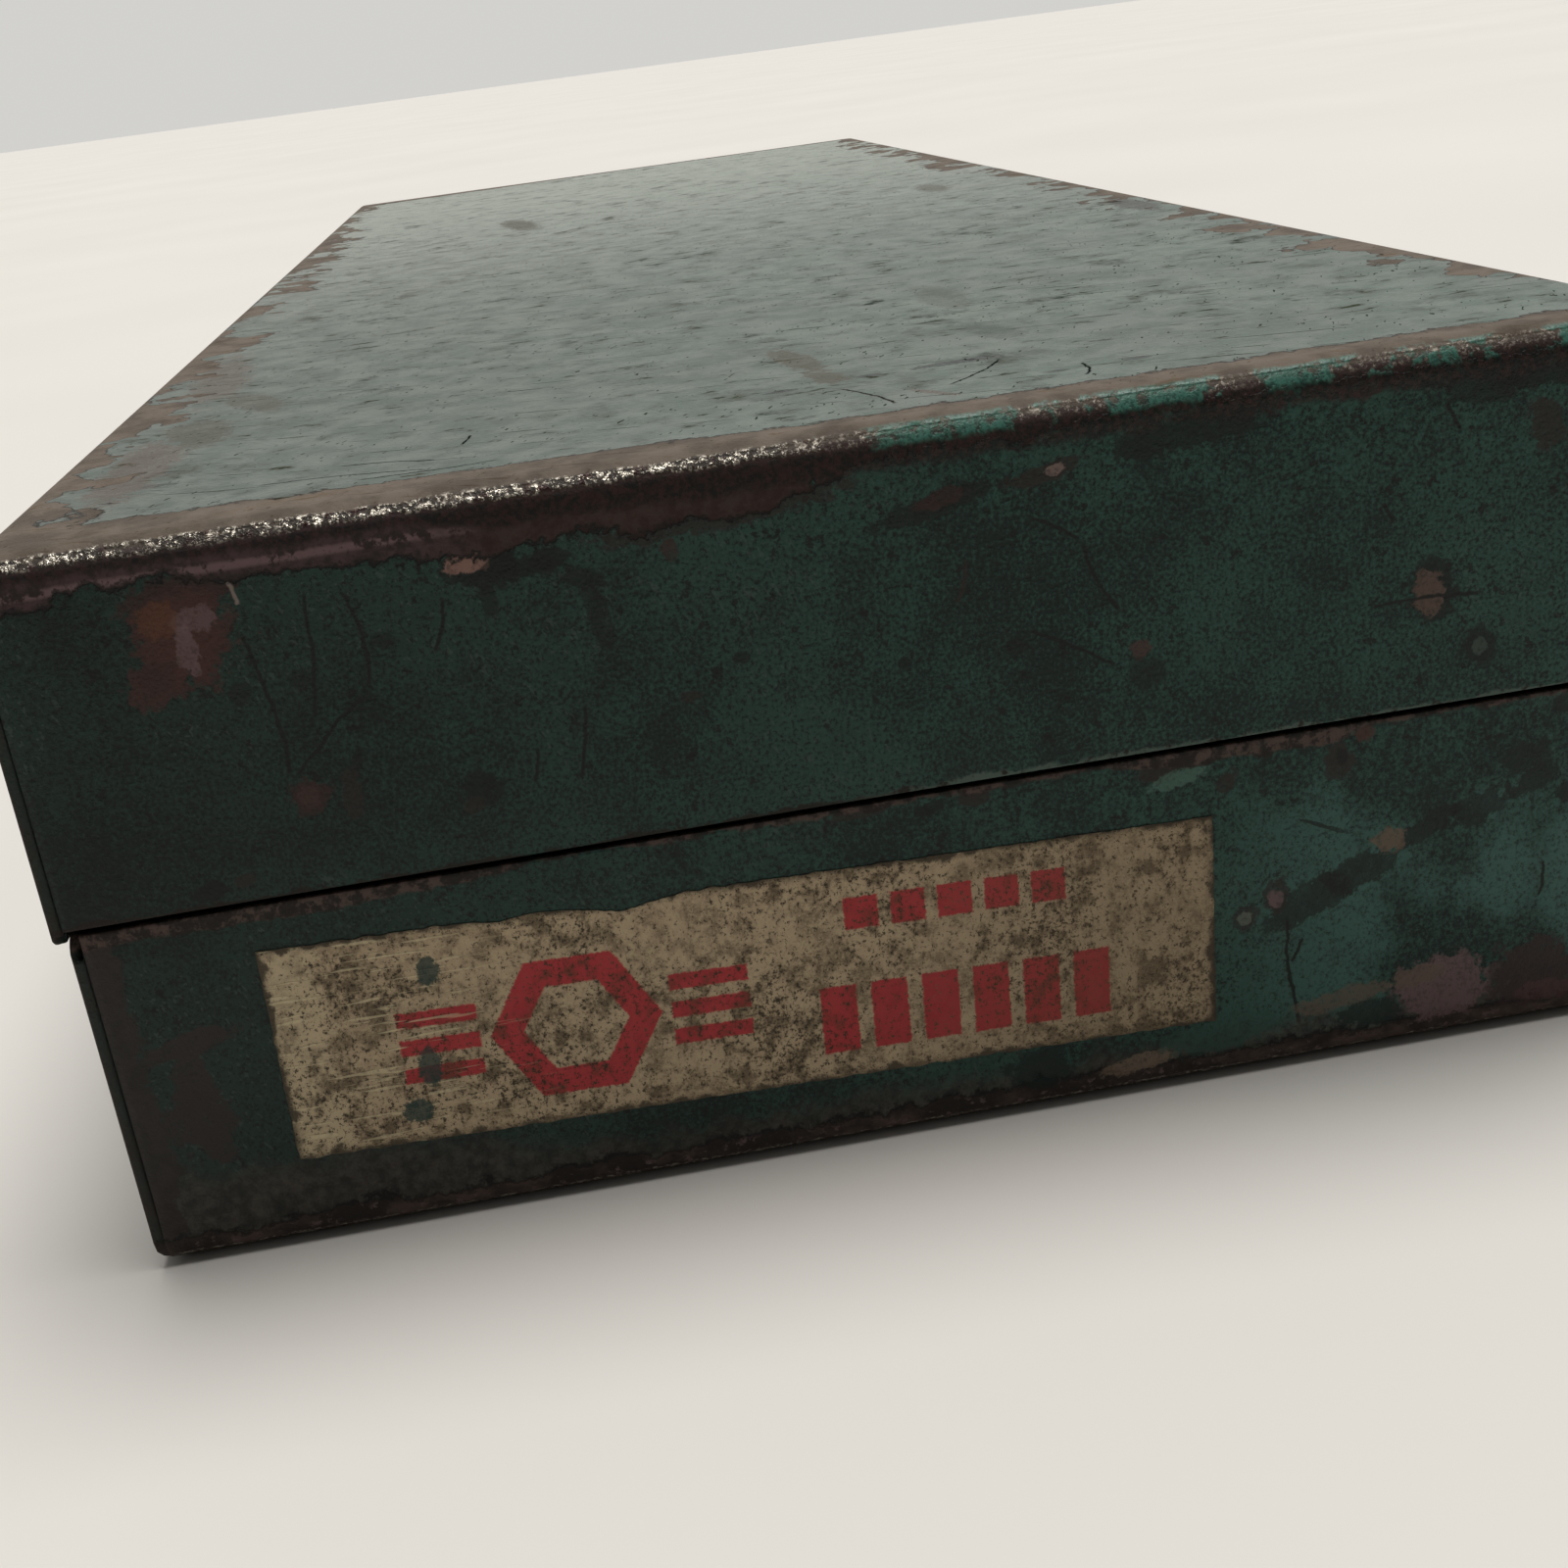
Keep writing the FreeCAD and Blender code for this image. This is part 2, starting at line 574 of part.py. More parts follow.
def draw_rod_path(sketch, corners, bend):
    """An open path of level and upright runs, each inner corner rounded to the bend radius."""
    points = [Vector(value_of(x), value_of(y), 0) for x, y in corners]
    starts, stops = [corners[0]], []
    for k in range(1, len(corners) - 1):
        stops.append(short_of(corners[k], points[k], points[k - 1], bend))
        starts.append(short_of(corners[k], points[k], points[k + 1], bend))
    stops.append(corners[-1])
    spots = [tuple(Vector(value_of(x), value_of(y), 0) for x, y in run) for run in zip(starts, stops)]
    runs = [sketch.addGeometry(Part.LineSegment(*spot), False) for spot in spots]
    for run, start, stop in zip(runs, starts, stops):
        pin_point(sketch, run, 1, start)
        pin_point(sketch, run, 2, stop)
    for k in range(1, len(runs)):
        middle = round_corner_middle(spots[k - 1][1], points[k], spots[k][0])
        arc = sketch.addGeometry(Part.Arc(spots[k - 1][1], middle, spots[k][0]), False)
        ends = {1: arc_end(sketch, arc, spots[k - 1][1])}
        ends[2] = 3 - ends[1]
        sketch.addConstraint(Sketcher.Constraint("Coincident", runs[k - 1], 2, arc, ends[1]))
        sketch.addConstraint(Sketcher.Constraint("Coincident", runs[k], 1, arc, ends[2]))
        index = sketch.addConstraint(Sketcher.Constraint("Radius", arc, value_of(bend)))
        sketch.setExpression(f"Constraints[{index}]", formula(bend))


def short_of(corner, point, neighbour, bend):
    """The formulas of the place one bend radius from a corner on its way to a neighbour."""
    x, y = corner
    if abs(neighbour.x - point.x) > abs(neighbour.y - point.y):
        sign = "+" if neighbour.x > point.x else "-"
        return f"{x} {sign} {bend}", y
    sign = "+" if neighbour.y > point.y else "-"
    return x, f"{y} {sign} {bend}"


def round_corner_middle(start, corner, stop):
    """The middle of the quarter circle that touches both runs at start and stop."""
    centre = start + stop - corner
    return centre + (corner - centre).normalize() * (start - centre).Length


def arc_end(sketch, arc, place):
    """Which end of the arc, 1 or 2, lies at the place."""
    return 1 if sketch.getPoint(arc, 1).isEqual(place, 0.001) else 2


def make_handle():
    """A rod bail whose ends turn outward into two riveted loops."""
    bail = handle_body("handle_bail")
    path = new_sketch(bail, "path", "XZ_Plane")
    corners = [
        (f"-{TRUNNION_END}", "0"),
        ("-handle_half_span", "0"),
        ("-handle_half_span", f"-{HANDLE_DROP}"),
        ("handle_half_span", f"-{HANDLE_DROP}"),
        ("handle_half_span", "0"),
        (TRUNNION_END, "0"),
    ]
    draw_rod_path(path, corners, "rod_bend")
    section = new_sketch(bail, "section", "YZ_Plane", f"-{TRUNNION_END}")
    draw_circle(section, "0", "0", "rod_radius")
    doc.recompute()
    rod = bail.newObject("PartDesign::AdditivePipe", "handle_bail_rod")
    rod.Profile = section
    rod.Spine = (path, [f"Edge{n}" for n in range(1, len(path.Shape.Edges) + 1)])
    doc.recompute()
    for word, side in SIDES.items():
        make_handle_loop(word, side)
    rivet_group("handle_rivets", STRAP_RIVETS, 1, f"({BASE_FRONT} + loop_sheet)", "loop_sheet + sheet")


def make_handle_loop(word, side):
    body = handle_body(f"handle_loop_{word}")
    middle = f"{side} * {LOOP_PLACE}"
    strap = new_sketch(body, "strap", "XZ_Plane", f"-{LOOP_STANDOFF}")
    draw_rectangle(strap, f"{middle} - loop_width / 2", f"{middle} + loop_width / 2", "-strap_reach", "0")
    pad(body, "strap", strap, "loop_sheet")
    add_barrel(body, "loop", middle, "loop_width", LOOP_BARREL)
    bore_along_x(body, "rod_radius + bore_clearance", f"2 * {TRUNNION_END}")
    holes = [(middle, f"-strap_rivet_drop - {k} * strap_rivet_span") for k in (0, 1)]
    drill(body, "rivet_holes", holes, 1, f"(loop_sheet - {LOOP_STANDOFF})", "loop_sheet")


def make_tray_pan():
    body = new_body("tray_pan")
    block = new_sketch(body, "block", "XY_Plane", TRAY_UNDERSIDE)
    draw_rectangle(block, f"-{TRAY_END}", TRAY_END, f"-{TRAY_FRONT}", f"-{TRAY_BACK}")
    pad(body, "block", block, f"{TRAY_RIM} - {TRAY_UNDERSIDE}")
    round_edges(body, "outer_bends", "tray_bend", lambda box: level_at(box, TRAY_UNDERSIDE))
    for name, inset, top, foot in (
        ("mouth", "2 * tray_sheet", TRAY_RIM, f"({TRAY_RIM} - tray_hem)"),
        ("hollow", "tray_sheet", f"({TRAY_RIM} - tray_hem)", TRAY_FLOOR),
    ):
        sketch = new_sketch(body, name, "XY_Plane", top)
        end = f"({TRAY_END} - {inset})"
        draw_rectangle(sketch, f"-{end}", end, f"-({TRAY_FRONT} - {inset})", f"-({TRAY_BACK} + {inset})")
        pocket(body, name, sketch, f"{top} - {foot}")
    outer_end = value_of(f"{TRAY_END} - tray_sheet") + 0.01
    round_edges(
        body, "inner_bends", "tray_bend - tray_sheet",
        lambda box: level_at(box, TRAY_FLOOR) and max(-box.XMin, box.XMax) < outer_end,
    )


def make_tray_divider(number):
    """An upright partition with its foot folded flat on the tray's floor."""
    body = new_body(f"tray_divider_{number}", f"divider_{number}_place * {TRAY_END}")
    front = f"-({TRAY_FRONT} - tray_sheet - divider_gap)"
    back = f"-({TRAY_BACK} + tray_sheet + divider_gap)"
    top = f"({TRAY_RIM} - tray_hem - divider_head)"
    upright = new_sketch(body, "upright", "YZ_Plane")
    draw_outline(upright, [
        (f"{front} + tray_bend", TRAY_FLOOR),
        (f"{back} - tray_bend", TRAY_FLOOR),
        (back, f"{TRAY_FLOOR} + tray_bend"),
        (back, top),
        (front, top),
        (front, f"{TRAY_FLOOR} + tray_bend"),
    ])
    pad(body, "upright", upright, "tray_sheet")
    foot = new_sketch(body, "foot", "XY_Plane", TRAY_FLOOR)
    draw_rectangle(foot, "0", "divider_foot", f"{front} + tray_bend", f"{back} - tray_bend")
    pad(body, "foot", foot, "tray_sheet")


def make_finger_tab(word, side):
    """A folded lip inside each end of the tray, for two fingers to lift it by."""
    body = new_body(f"tray_finger_tab_{word}", y=f"-{TRAY_MIDDLE}")
    wall = f"({TRAY_END} - tray_sheet)"
    top = f"({TRAY_RIM} - tray_hem - finger_tab_gap)"
    sketch = new_sketch(body, "fold", "XZ_Plane")
    draw_outline(sketch, [
        (f"{side} * {wall}", f"{top} - finger_tab_height"),
        (f"{side} * {wall}", top),
        (f"{side} * ({wall} - finger_tab_reach)", top),
        (f"{side} * ({wall} - finger_tab_reach)", f"{top} - tray_sheet"),
        (f"{side} * ({wall} - tray_sheet)", f"{top} - tray_sheet"),
        (f"{side} * ({wall} - tray_sheet)", f"{top} - finger_tab_height"),
    ])
    pad(body, "fold", sketch, "finger_tab_width", symmetric=True)


def make_tray_ledge(word, side):
    """The angle fixed inside each end wall that the tray sits on."""
    body = new_body(f"tray_ledge_{word}", y=f"-{TRAY_MIDDLE}")
    sketch = new_sketch(body, "angle", "XZ_Plane")
    draw_outline(sketch, [
        (f"{side} * {INNER_END}", "ledge_foot"),
        (f"{side} * {INNER_END}", "tray_seat"),
        (f"{side} * ({INNER_END} - ledge_reach)", "tray_seat"),
        (f"{side} * ({INNER_END} - ledge_reach)", "tray_seat - ledge_sheet"),
        (f"{side} * ({INNER_END} - ledge_sheet)", "tray_seat - ledge_sheet"),
        (f"{side} * ({INNER_END} - ledge_sheet)", "ledge_foot"),
    ])
    pad(body, "angle", sketch, "tray_width - 2 * ledge_inset", symmetric=True)


def make_tray():
    make_tray_pan()
    for number in (1, 2, 3):
        make_tray_divider(number)
    for word, side in SIDES.items():
        make_finger_tab(word, side)
        make_tray_ledge(word, side)


def make_label():
    """A paper label stuck slightly askew on the base's end wall."""
    body = new_body("label", END, "label_across", f"({LABEL_HEAD} + label_foot) / 2", tilt="label_tilt")
    sketch = new_sketch(body, "paper", "YZ_Plane")
    half_tall = f"({LABEL_HEAD} - label_foot) / 2"
    draw_rectangle(sketch, "-label_length / 2", "label_length / 2", f"-{half_tall}", half_tall)
    pad(body, "paper", sketch, "label_sheet")


def check_document():
    """Stops if any object failed or any sub-part is empty or invalid."""
    doc.recompute()
    for thing in doc.Objects:
        if {"Invalid", "Error"} & set(thing.State):
            raise RuntimeError(f"{thing.Name} is {thing.State}")
    for part in sub_parts():
        if part.Shape.isNull() or not part.Shape.isValid():
            raise RuntimeError(f"{part.Label} has no valid shape")


def sub_parts():
    return [thing for thing in doc.Objects if thing.TypeId == "PartDesign::Body"]


fill_sheet()
make_base_shell()
make_lid_shell()
make_hinge()
make_hasps()
make_handle()
make_tray()
make_label()
check_document()
os.makedirs("parts", exist_ok=True)
for part in sub_parts():
    part.Shape.exportStep(f"parts/{part.Label}.step")
    print(part.Label, len(part.Shape.Solids), round(part.Shape.Volume, 1))
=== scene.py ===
"""The looks of the flat steel toolbox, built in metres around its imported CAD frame.

The label is on the +X end, the hasps and the handle are on -Y, the hinge is on +Y and Z is up.
The folded shells and the label are rebuilt with finer shape; every other piece keeps its CAD shape
and gets a procedural material.  Materials work in millimetres of each piece's own coordinates.
"""

import json
import math

import bmesh
import bpy
import numpy as np
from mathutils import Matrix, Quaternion, Vector, noise


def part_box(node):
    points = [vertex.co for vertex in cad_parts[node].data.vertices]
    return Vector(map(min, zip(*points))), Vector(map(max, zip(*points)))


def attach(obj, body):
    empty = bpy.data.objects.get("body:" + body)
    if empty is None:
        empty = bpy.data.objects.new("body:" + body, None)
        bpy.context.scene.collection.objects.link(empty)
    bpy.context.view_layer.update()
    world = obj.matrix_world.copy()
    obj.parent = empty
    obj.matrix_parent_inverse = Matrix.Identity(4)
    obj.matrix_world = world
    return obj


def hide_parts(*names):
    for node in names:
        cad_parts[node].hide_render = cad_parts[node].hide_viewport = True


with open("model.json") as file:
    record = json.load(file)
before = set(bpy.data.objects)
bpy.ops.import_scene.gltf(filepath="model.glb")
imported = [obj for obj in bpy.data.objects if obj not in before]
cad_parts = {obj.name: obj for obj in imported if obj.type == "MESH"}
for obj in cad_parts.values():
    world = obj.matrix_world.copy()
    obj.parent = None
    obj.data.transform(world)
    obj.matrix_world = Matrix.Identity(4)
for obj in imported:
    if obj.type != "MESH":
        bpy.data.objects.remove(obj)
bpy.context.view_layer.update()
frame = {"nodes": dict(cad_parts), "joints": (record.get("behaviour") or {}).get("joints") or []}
nodes = frame["nodes"]

MM = 0.001
SHEET = 1.0 * MM
BEND = 2.6 * MM
LID_LAP = 1.2 * MM
TRAY_SHEET = 0.8 * MM
TRAY_BEND = 2.0 * MM
TRAY_HEM = 4.0 * MM

BASE_LOW, BASE_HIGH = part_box("base_shell")
LID_LOW, LID_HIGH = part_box("lid_shell")
TRAY_LOW, TRAY_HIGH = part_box("tray_pan")
LABEL_LOW, LABEL_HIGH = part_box("label")
HALF_LENGTH = LID_HIGH.x / MM
HALF_WIDTH = LID_HIGH.y / MM
TALL = LID_HIGH.z / MM
BASE_RIM = BASE_HIGH.z / MM
LID_RIM = (LID_LOW.z + LID_LAP) / MM


# ---- camera, floor and light

CAMERA_PLACE = Vector((0.3544, -0.0217, 0.0927))
CAMERA_AIM = Vector((0.2064, -0.0092, 0.0353))
CAMERA_ROLL = math.radians(7.62)
CAMERA_LENS = 44.18

ROOM_TINT = (0.95, 0.94, 0.905, 1)
ROOM_BRIGHT_SIDE = (-1.0, 0.28, 0.0)
ROOM_FADE = (-0.4, 1.05)
ROOM_DIM = 0.06
ROOM_BRIGHT = 0.78
ROOM_SEEN = 0.68
LAMP_FROM = (-0.14, 0.12, 1.0)
LAMP_STRENGTH = 2.75
LAMP_WIDTH = math.radians(36)
LAMP_TINT = (1.0, 0.985, 0.96)
FLOOR_REACH = 14.0


def add_camera():
    """A close view of the labelled end from a little above, rolled to the right."""
    data = bpy.data.cameras.new("camera")
    data.sensor_width = 36.0
    data.lens = CAMERA_LENS
    data.clip_start = 0.005
    camera = bpy.data.objects.new("camera", data)
    bpy.context.scene.collection.objects.link(camera)
    level = (CAMERA_AIM - CAMERA_PLACE).to_track_quat("-Z", "Y")
    camera.rotation_mode = "QUATERNION"
    camera.rotation_quaternion = level @ Quaternion((0, 0, 1), -CAMERA_ROLL)
    camera.location = CAMERA_PLACE
    bpy.context.scene.camera = camera


def add_light():
    """A soft lamp high behind the box, and a room that lights it from behind and is dim in front of it.

    Seen directly, the room is evenly pale from every side.
    """
    world = bpy.data.worlds.new("studio")
    bpy.context.scene.world = world
    world.use_nodes = True
    tree = world.node_tree
    back = tree.nodes["Background"]
    back.inputs["Color"].default_value = ROOM_TINT
    direction = tree.nodes.new("ShaderNodeTexCoord").outputs["Generated"]
    ahead = tree.nodes.new("ShaderNodeVectorMath")
    ahead.operation = "DOT_PRODUCT"
    tree.links.new(direction, ahead.inputs[0])
    ahead.inputs[1].default_value = ROOM_BRIGHT_SIDE
    level = tree.nodes.new("ShaderNodeMapRange")
    tree.links.new(ahead.outputs["Value"], level.inputs["Value"])
    for socket, value in zip(level.inputs[1:5], (*ROOM_FADE, ROOM_DIM, ROOM_BRIGHT)):
        socket.default_value = value
    shown = tree.nodes.new("ShaderNodeMix")
    tree.links.new(tree.nodes.new("ShaderNodeLightPath").outputs["Is Camera Ray"], shown.inputs["Factor"])
    tree.links.new(level.outputs[0], shown.inputs["A"])
    shown.inputs["B"].default_value = ROOM_SEEN
    tree.links.new(shown.outputs[0], back.inputs["Strength"])

    data = bpy.data.lights.new("soft_lamp", "SUN")
    data.energy = LAMP_STRENGTH
    data.angle = LAMP_WIDTH
    data.color = LAMP_TINT
    lamp = bpy.data.objects.new("soft_lamp", data)
    bpy.context.scene.collection.objects.link(lamp)
    lamp.rotation_mode = "QUATERNION"
    lamp.rotation_quaternion = (-Vector(LAMP_FROM)).to_track_quat("-Z", "Y")


def add_floor():
    """A plain pale floor, wide enough to reach the horizon."""
    mesh = bpy.data.meshes.new("studio_floor")
    corners = [(-1, -1), (1, -1), (1, 1), (-1, 1)]
    mesh.from_pydata([(x * FLOOR_REACH, y * FLOOR_REACH, 0.0) for x, y in corners], [], [(0, 1, 2, 3)])
    floor = bpy.data.objects.new("studio_floor", mesh)
    bpy.context.scene.collection.objects.link(floor)
    look = Look("studio_floor")
    cloud = look.noise(look.place_mm(), 0.004, detail=2)
    look.finish(look.mix(cloud, srgb(216, 213, 208), srgb(226, 223, 218)), roughness=0.8, specular=0.0)
    mesh.materials.append(look.material)


# ---- material building


def srgb(red, green, blue):
    """A colour given in display values from 0 to 255, as linear light."""
    def linear(value):
        value /= 255
        return value / 12.92 if value <= 0.04045 else ((value + 0.055) / 1.055) ** 2.4
    return (linear(red), linear(green), linear(blue), 1.0)


class Look:
    """A material whose nodes are added by short calls.  Each call returns the new node's output."""

    def __init__(self, name):
        self.material = bpy.data.materials.new(name)
        self.material.use_nodes = True
        self.tree = self.material.node_tree
        self.tree.nodes.clear()

    def feed(self, socket, value):
        if isinstance(value, bpy.types.NodeSocket):
            self.tree.links.new(value, socket)
        elif value is not None:
            socket.default_value = value

    def place_mm(self):
        """The point's own coordinates in millimetres."""
        place = self.tree.nodes.new("ShaderNodeTexCoord").outputs["Object"]
        return self.vector("SCALE", place, scale=1 / MM)

    def vector(self, operation, first, second=None, scale=None):
        node = self.tree.nodes.new("ShaderNodeVectorMath")
        node.operation = operation
        self.feed(node.inputs[0], first)
        self.feed(node.inputs[1], second)
        if scale is not None:
            node.inputs["Scale"].default_value = scale
        return node.outputs[0]

    def split(self, value):
        node = self.tree.nodes.new("ShaderNodeSeparateXYZ")
        self.feed(node.inputs[0], value)
        return node.outputs

    def math(self, operation, *values):
        node = self.tree.nodes.new("ShaderNodeMath")
        node.operation = operation
        for socket, value in zip(node.inputs, values):
            self.feed(socket, value)
        return node.outputs[0]

    def times(self, first, second):
        return self.math("MULTIPLY", first, second)

    def plus(self, first, second):
        return self.math("ADD", first, second)

    def minus(self, first, second):
        return self.math("SUBTRACT", first, second)

    def absolute(self, value):
        return self.math("ABSOLUTE", value)

    def noise(self, place, scale, detail=2.0, rough=0.5, warp=0.0):
        node = self.tree.nodes.new("ShaderNodeTexNoise")
        self.feed(node.inputs["Vector"], place)
        node.inputs["Scale"].default_value = scale
        node.inputs["Detail"].default_value = detail
        node.inputs["Roughness"].default_value = rough
        node.inputs["Distortion"].default_value = warp
        return node.outputs["Fac"]

    def step(self, value, low, high, start=0.0, stop=1.0):
        """A smooth step from start, at low, to stop, at high."""
        node = self.tree.nodes.new("ShaderNodeMapRange")
        node.interpolation_type = "SMOOTHSTEP"
        for socket, given in zip(node.inputs, (value, low, high, start, stop)):
            self.feed(socket, given)
        return node.outputs[0]

    def mix(self, share, first, second):
        node = self.tree.nodes.new("ShaderNodeMix")
        node.data_type = "RGBA"
        for socket, value in zip((node.inputs[0], node.inputs[6], node.inputs[7]), (share, first, second)):
            self.feed(socket, value)
        return node.outputs[2]

    def blend(self, share, first, second):
        node = self.tree.nodes.new("ShaderNodeMix")
        for socket, value in zip((node.inputs[0], node.inputs[2], node.inputs[3]), (share, first, second)):
            self.feed(socket, value)
        return node.outputs[0]

    def both(self, first, second):
        """Where two masks overlap."""
        return self.times(first, second)

    def either(self, *masks):
        """Where any of the masks is."""
        result = masks[0]
        for mask in masks[1:]:
            result = self.math("MAXIMUM", result, mask)
        return result

    def away(self, mask):
        return self.minus(1.0, mask)

    def turned(self, across, up, origin, cosine, sine):
        """A place on a flat face, measured from the origin along axes turned by an angle."""
        u = self.minus(across, origin[0])
        v = self.minus(up, origin[1])
        along = self.plus(self.times(u, cosine), self.times(v, sine))
        over = self.minus(self.times(v, cosine), self.times(u, sine))
        return along, over

    def spot(self, across, up, ragged, centre, half_size, turn=0.0):
        """A ragged oval on a flat face, in millimetres: 1 inside, 0 outside."""
        cosine, sine = math.cos(math.radians(turn)), math.sin(math.radians(turn))
        along, over = self.turned(across, up, centre, cosine, sine)
        along = self.math("POWER", self.math("DIVIDE", along, half_size[0]), 2.0)
        over = self.math("POWER", self.math("DIVIDE", over, half_size[1]), 2.0)
        reach = self.math("SQRT", self.plus(along, over))
        return self.step(self.plus(reach, ragged), 1.1, 0.84)

    def hairline(self, across, up, sway, start, stop, sag=0.0, half=0.15):
        """A thin crack on a flat face from start to stop, bowed sideways by sag, in millimetres."""
        length = math.dist(start, stop)
        cosine, sine = (stop[0] - start[0]) / length, (stop[1] - start[1]) / length
        along, over = self.turned(across, up, start, cosine, sine)
        share = self.math("DIVIDE", along, length)
        bow = self.times(self.times(share, self.away(share)), 4 * sag)
        off = self.absolute(self.plus(self.minus(over, bow), sway))
        inside = self.both(self.step(share, 0.0, 0.08), self.step(share, 1.0, 0.92))
        return self.both(self.step(off, 1.6 * half, 0.5 * half), inside)

    def finish(self, colour, roughness, metallic=0.0, bump=None, bump_mm=0.1, specular=0.5):
        surface = self.tree.nodes.new("ShaderNodeBsdfPrincipled")
        self.feed(surface.inputs["Base Color"], colour)
        self.feed(surface.inputs["Roughness"], roughness)
        self.feed(surface.inputs["Metallic"], metallic)
        self.feed(surface.inputs["Specular IOR Level"], specular)
        if bump is not None:
            relief = self.tree.nodes.new("ShaderNodeBump")
            relief.inputs["Strength"].default_value = 1.0
            relief.inputs["Distance"].default_value = bump_mm * MM
            self.feed(relief.inputs["Height"], bump)
            self.tree.links.new(relief.outputs[0], surface.inputs["Normal"])
        out = self.tree.nodes.new("ShaderNodeOutputMaterial")
        self.tree.links.new(surface.outputs[0], out.inputs["Surface"])


# ---- worn paint

# The grey pair is the enamel in painted shade, used towards the front; the teal pair is the enamel where more
# light falls, towards the rear, and plain teal paint elsewhere.
GREY_SHADED_DARK = srgb(12, 23, 19)
GREY_SHADED_LIGHT = srgb(28, 48, 42)
TEAL_DARK = srgb(14, 34, 30)
TEAL_LIGHT = srgb(43, 77, 68)
# The lighter teal of the paint left on the lid's bend, partly a painted highlight.
LIT_TEAL_PAINT = srgb(64, 110, 97)
# The two pale top tones: the paler top, chalky paint with a painted sheen, and a painted reflection on the
# top's far end.
CHALK_AND_SHEEN = srgb(112, 124, 112)
PAINTED_FAR_REFLECTION = srgb(158, 164, 154)
SOOT = srgb(15, 18, 16)
GRIME = srgb(17, 22, 19)
OLIVE = srgb(62, 60, 44)
BROWN_GRIME = srgb(38, 32, 29)
BROWN_WORN = srgb(44, 36, 34)
BROWN_PALE = srgb(76, 62, 56)
TAN = srgb(80, 70, 60)
TAN_PALE = srgb(104, 92, 80)
PRIMER_DARK = srgb(70, 54, 55)
PRIMER = srgb(94, 77, 77)
PINK = srgb(104, 84, 85)
RUST_DARK = srgb(50, 32, 29)
RUST = srgb(70, 42, 35)
RUST_BRIGHT = srgb(92, 56, 34)
STEEL = srgb(204, 196, 182)
STEEL_DARK = srgb(58, 52, 46)
TEAL_WASH = srgb(66, 102, 95)
CHIPPED_TEAL = srgb(80, 94, 87)


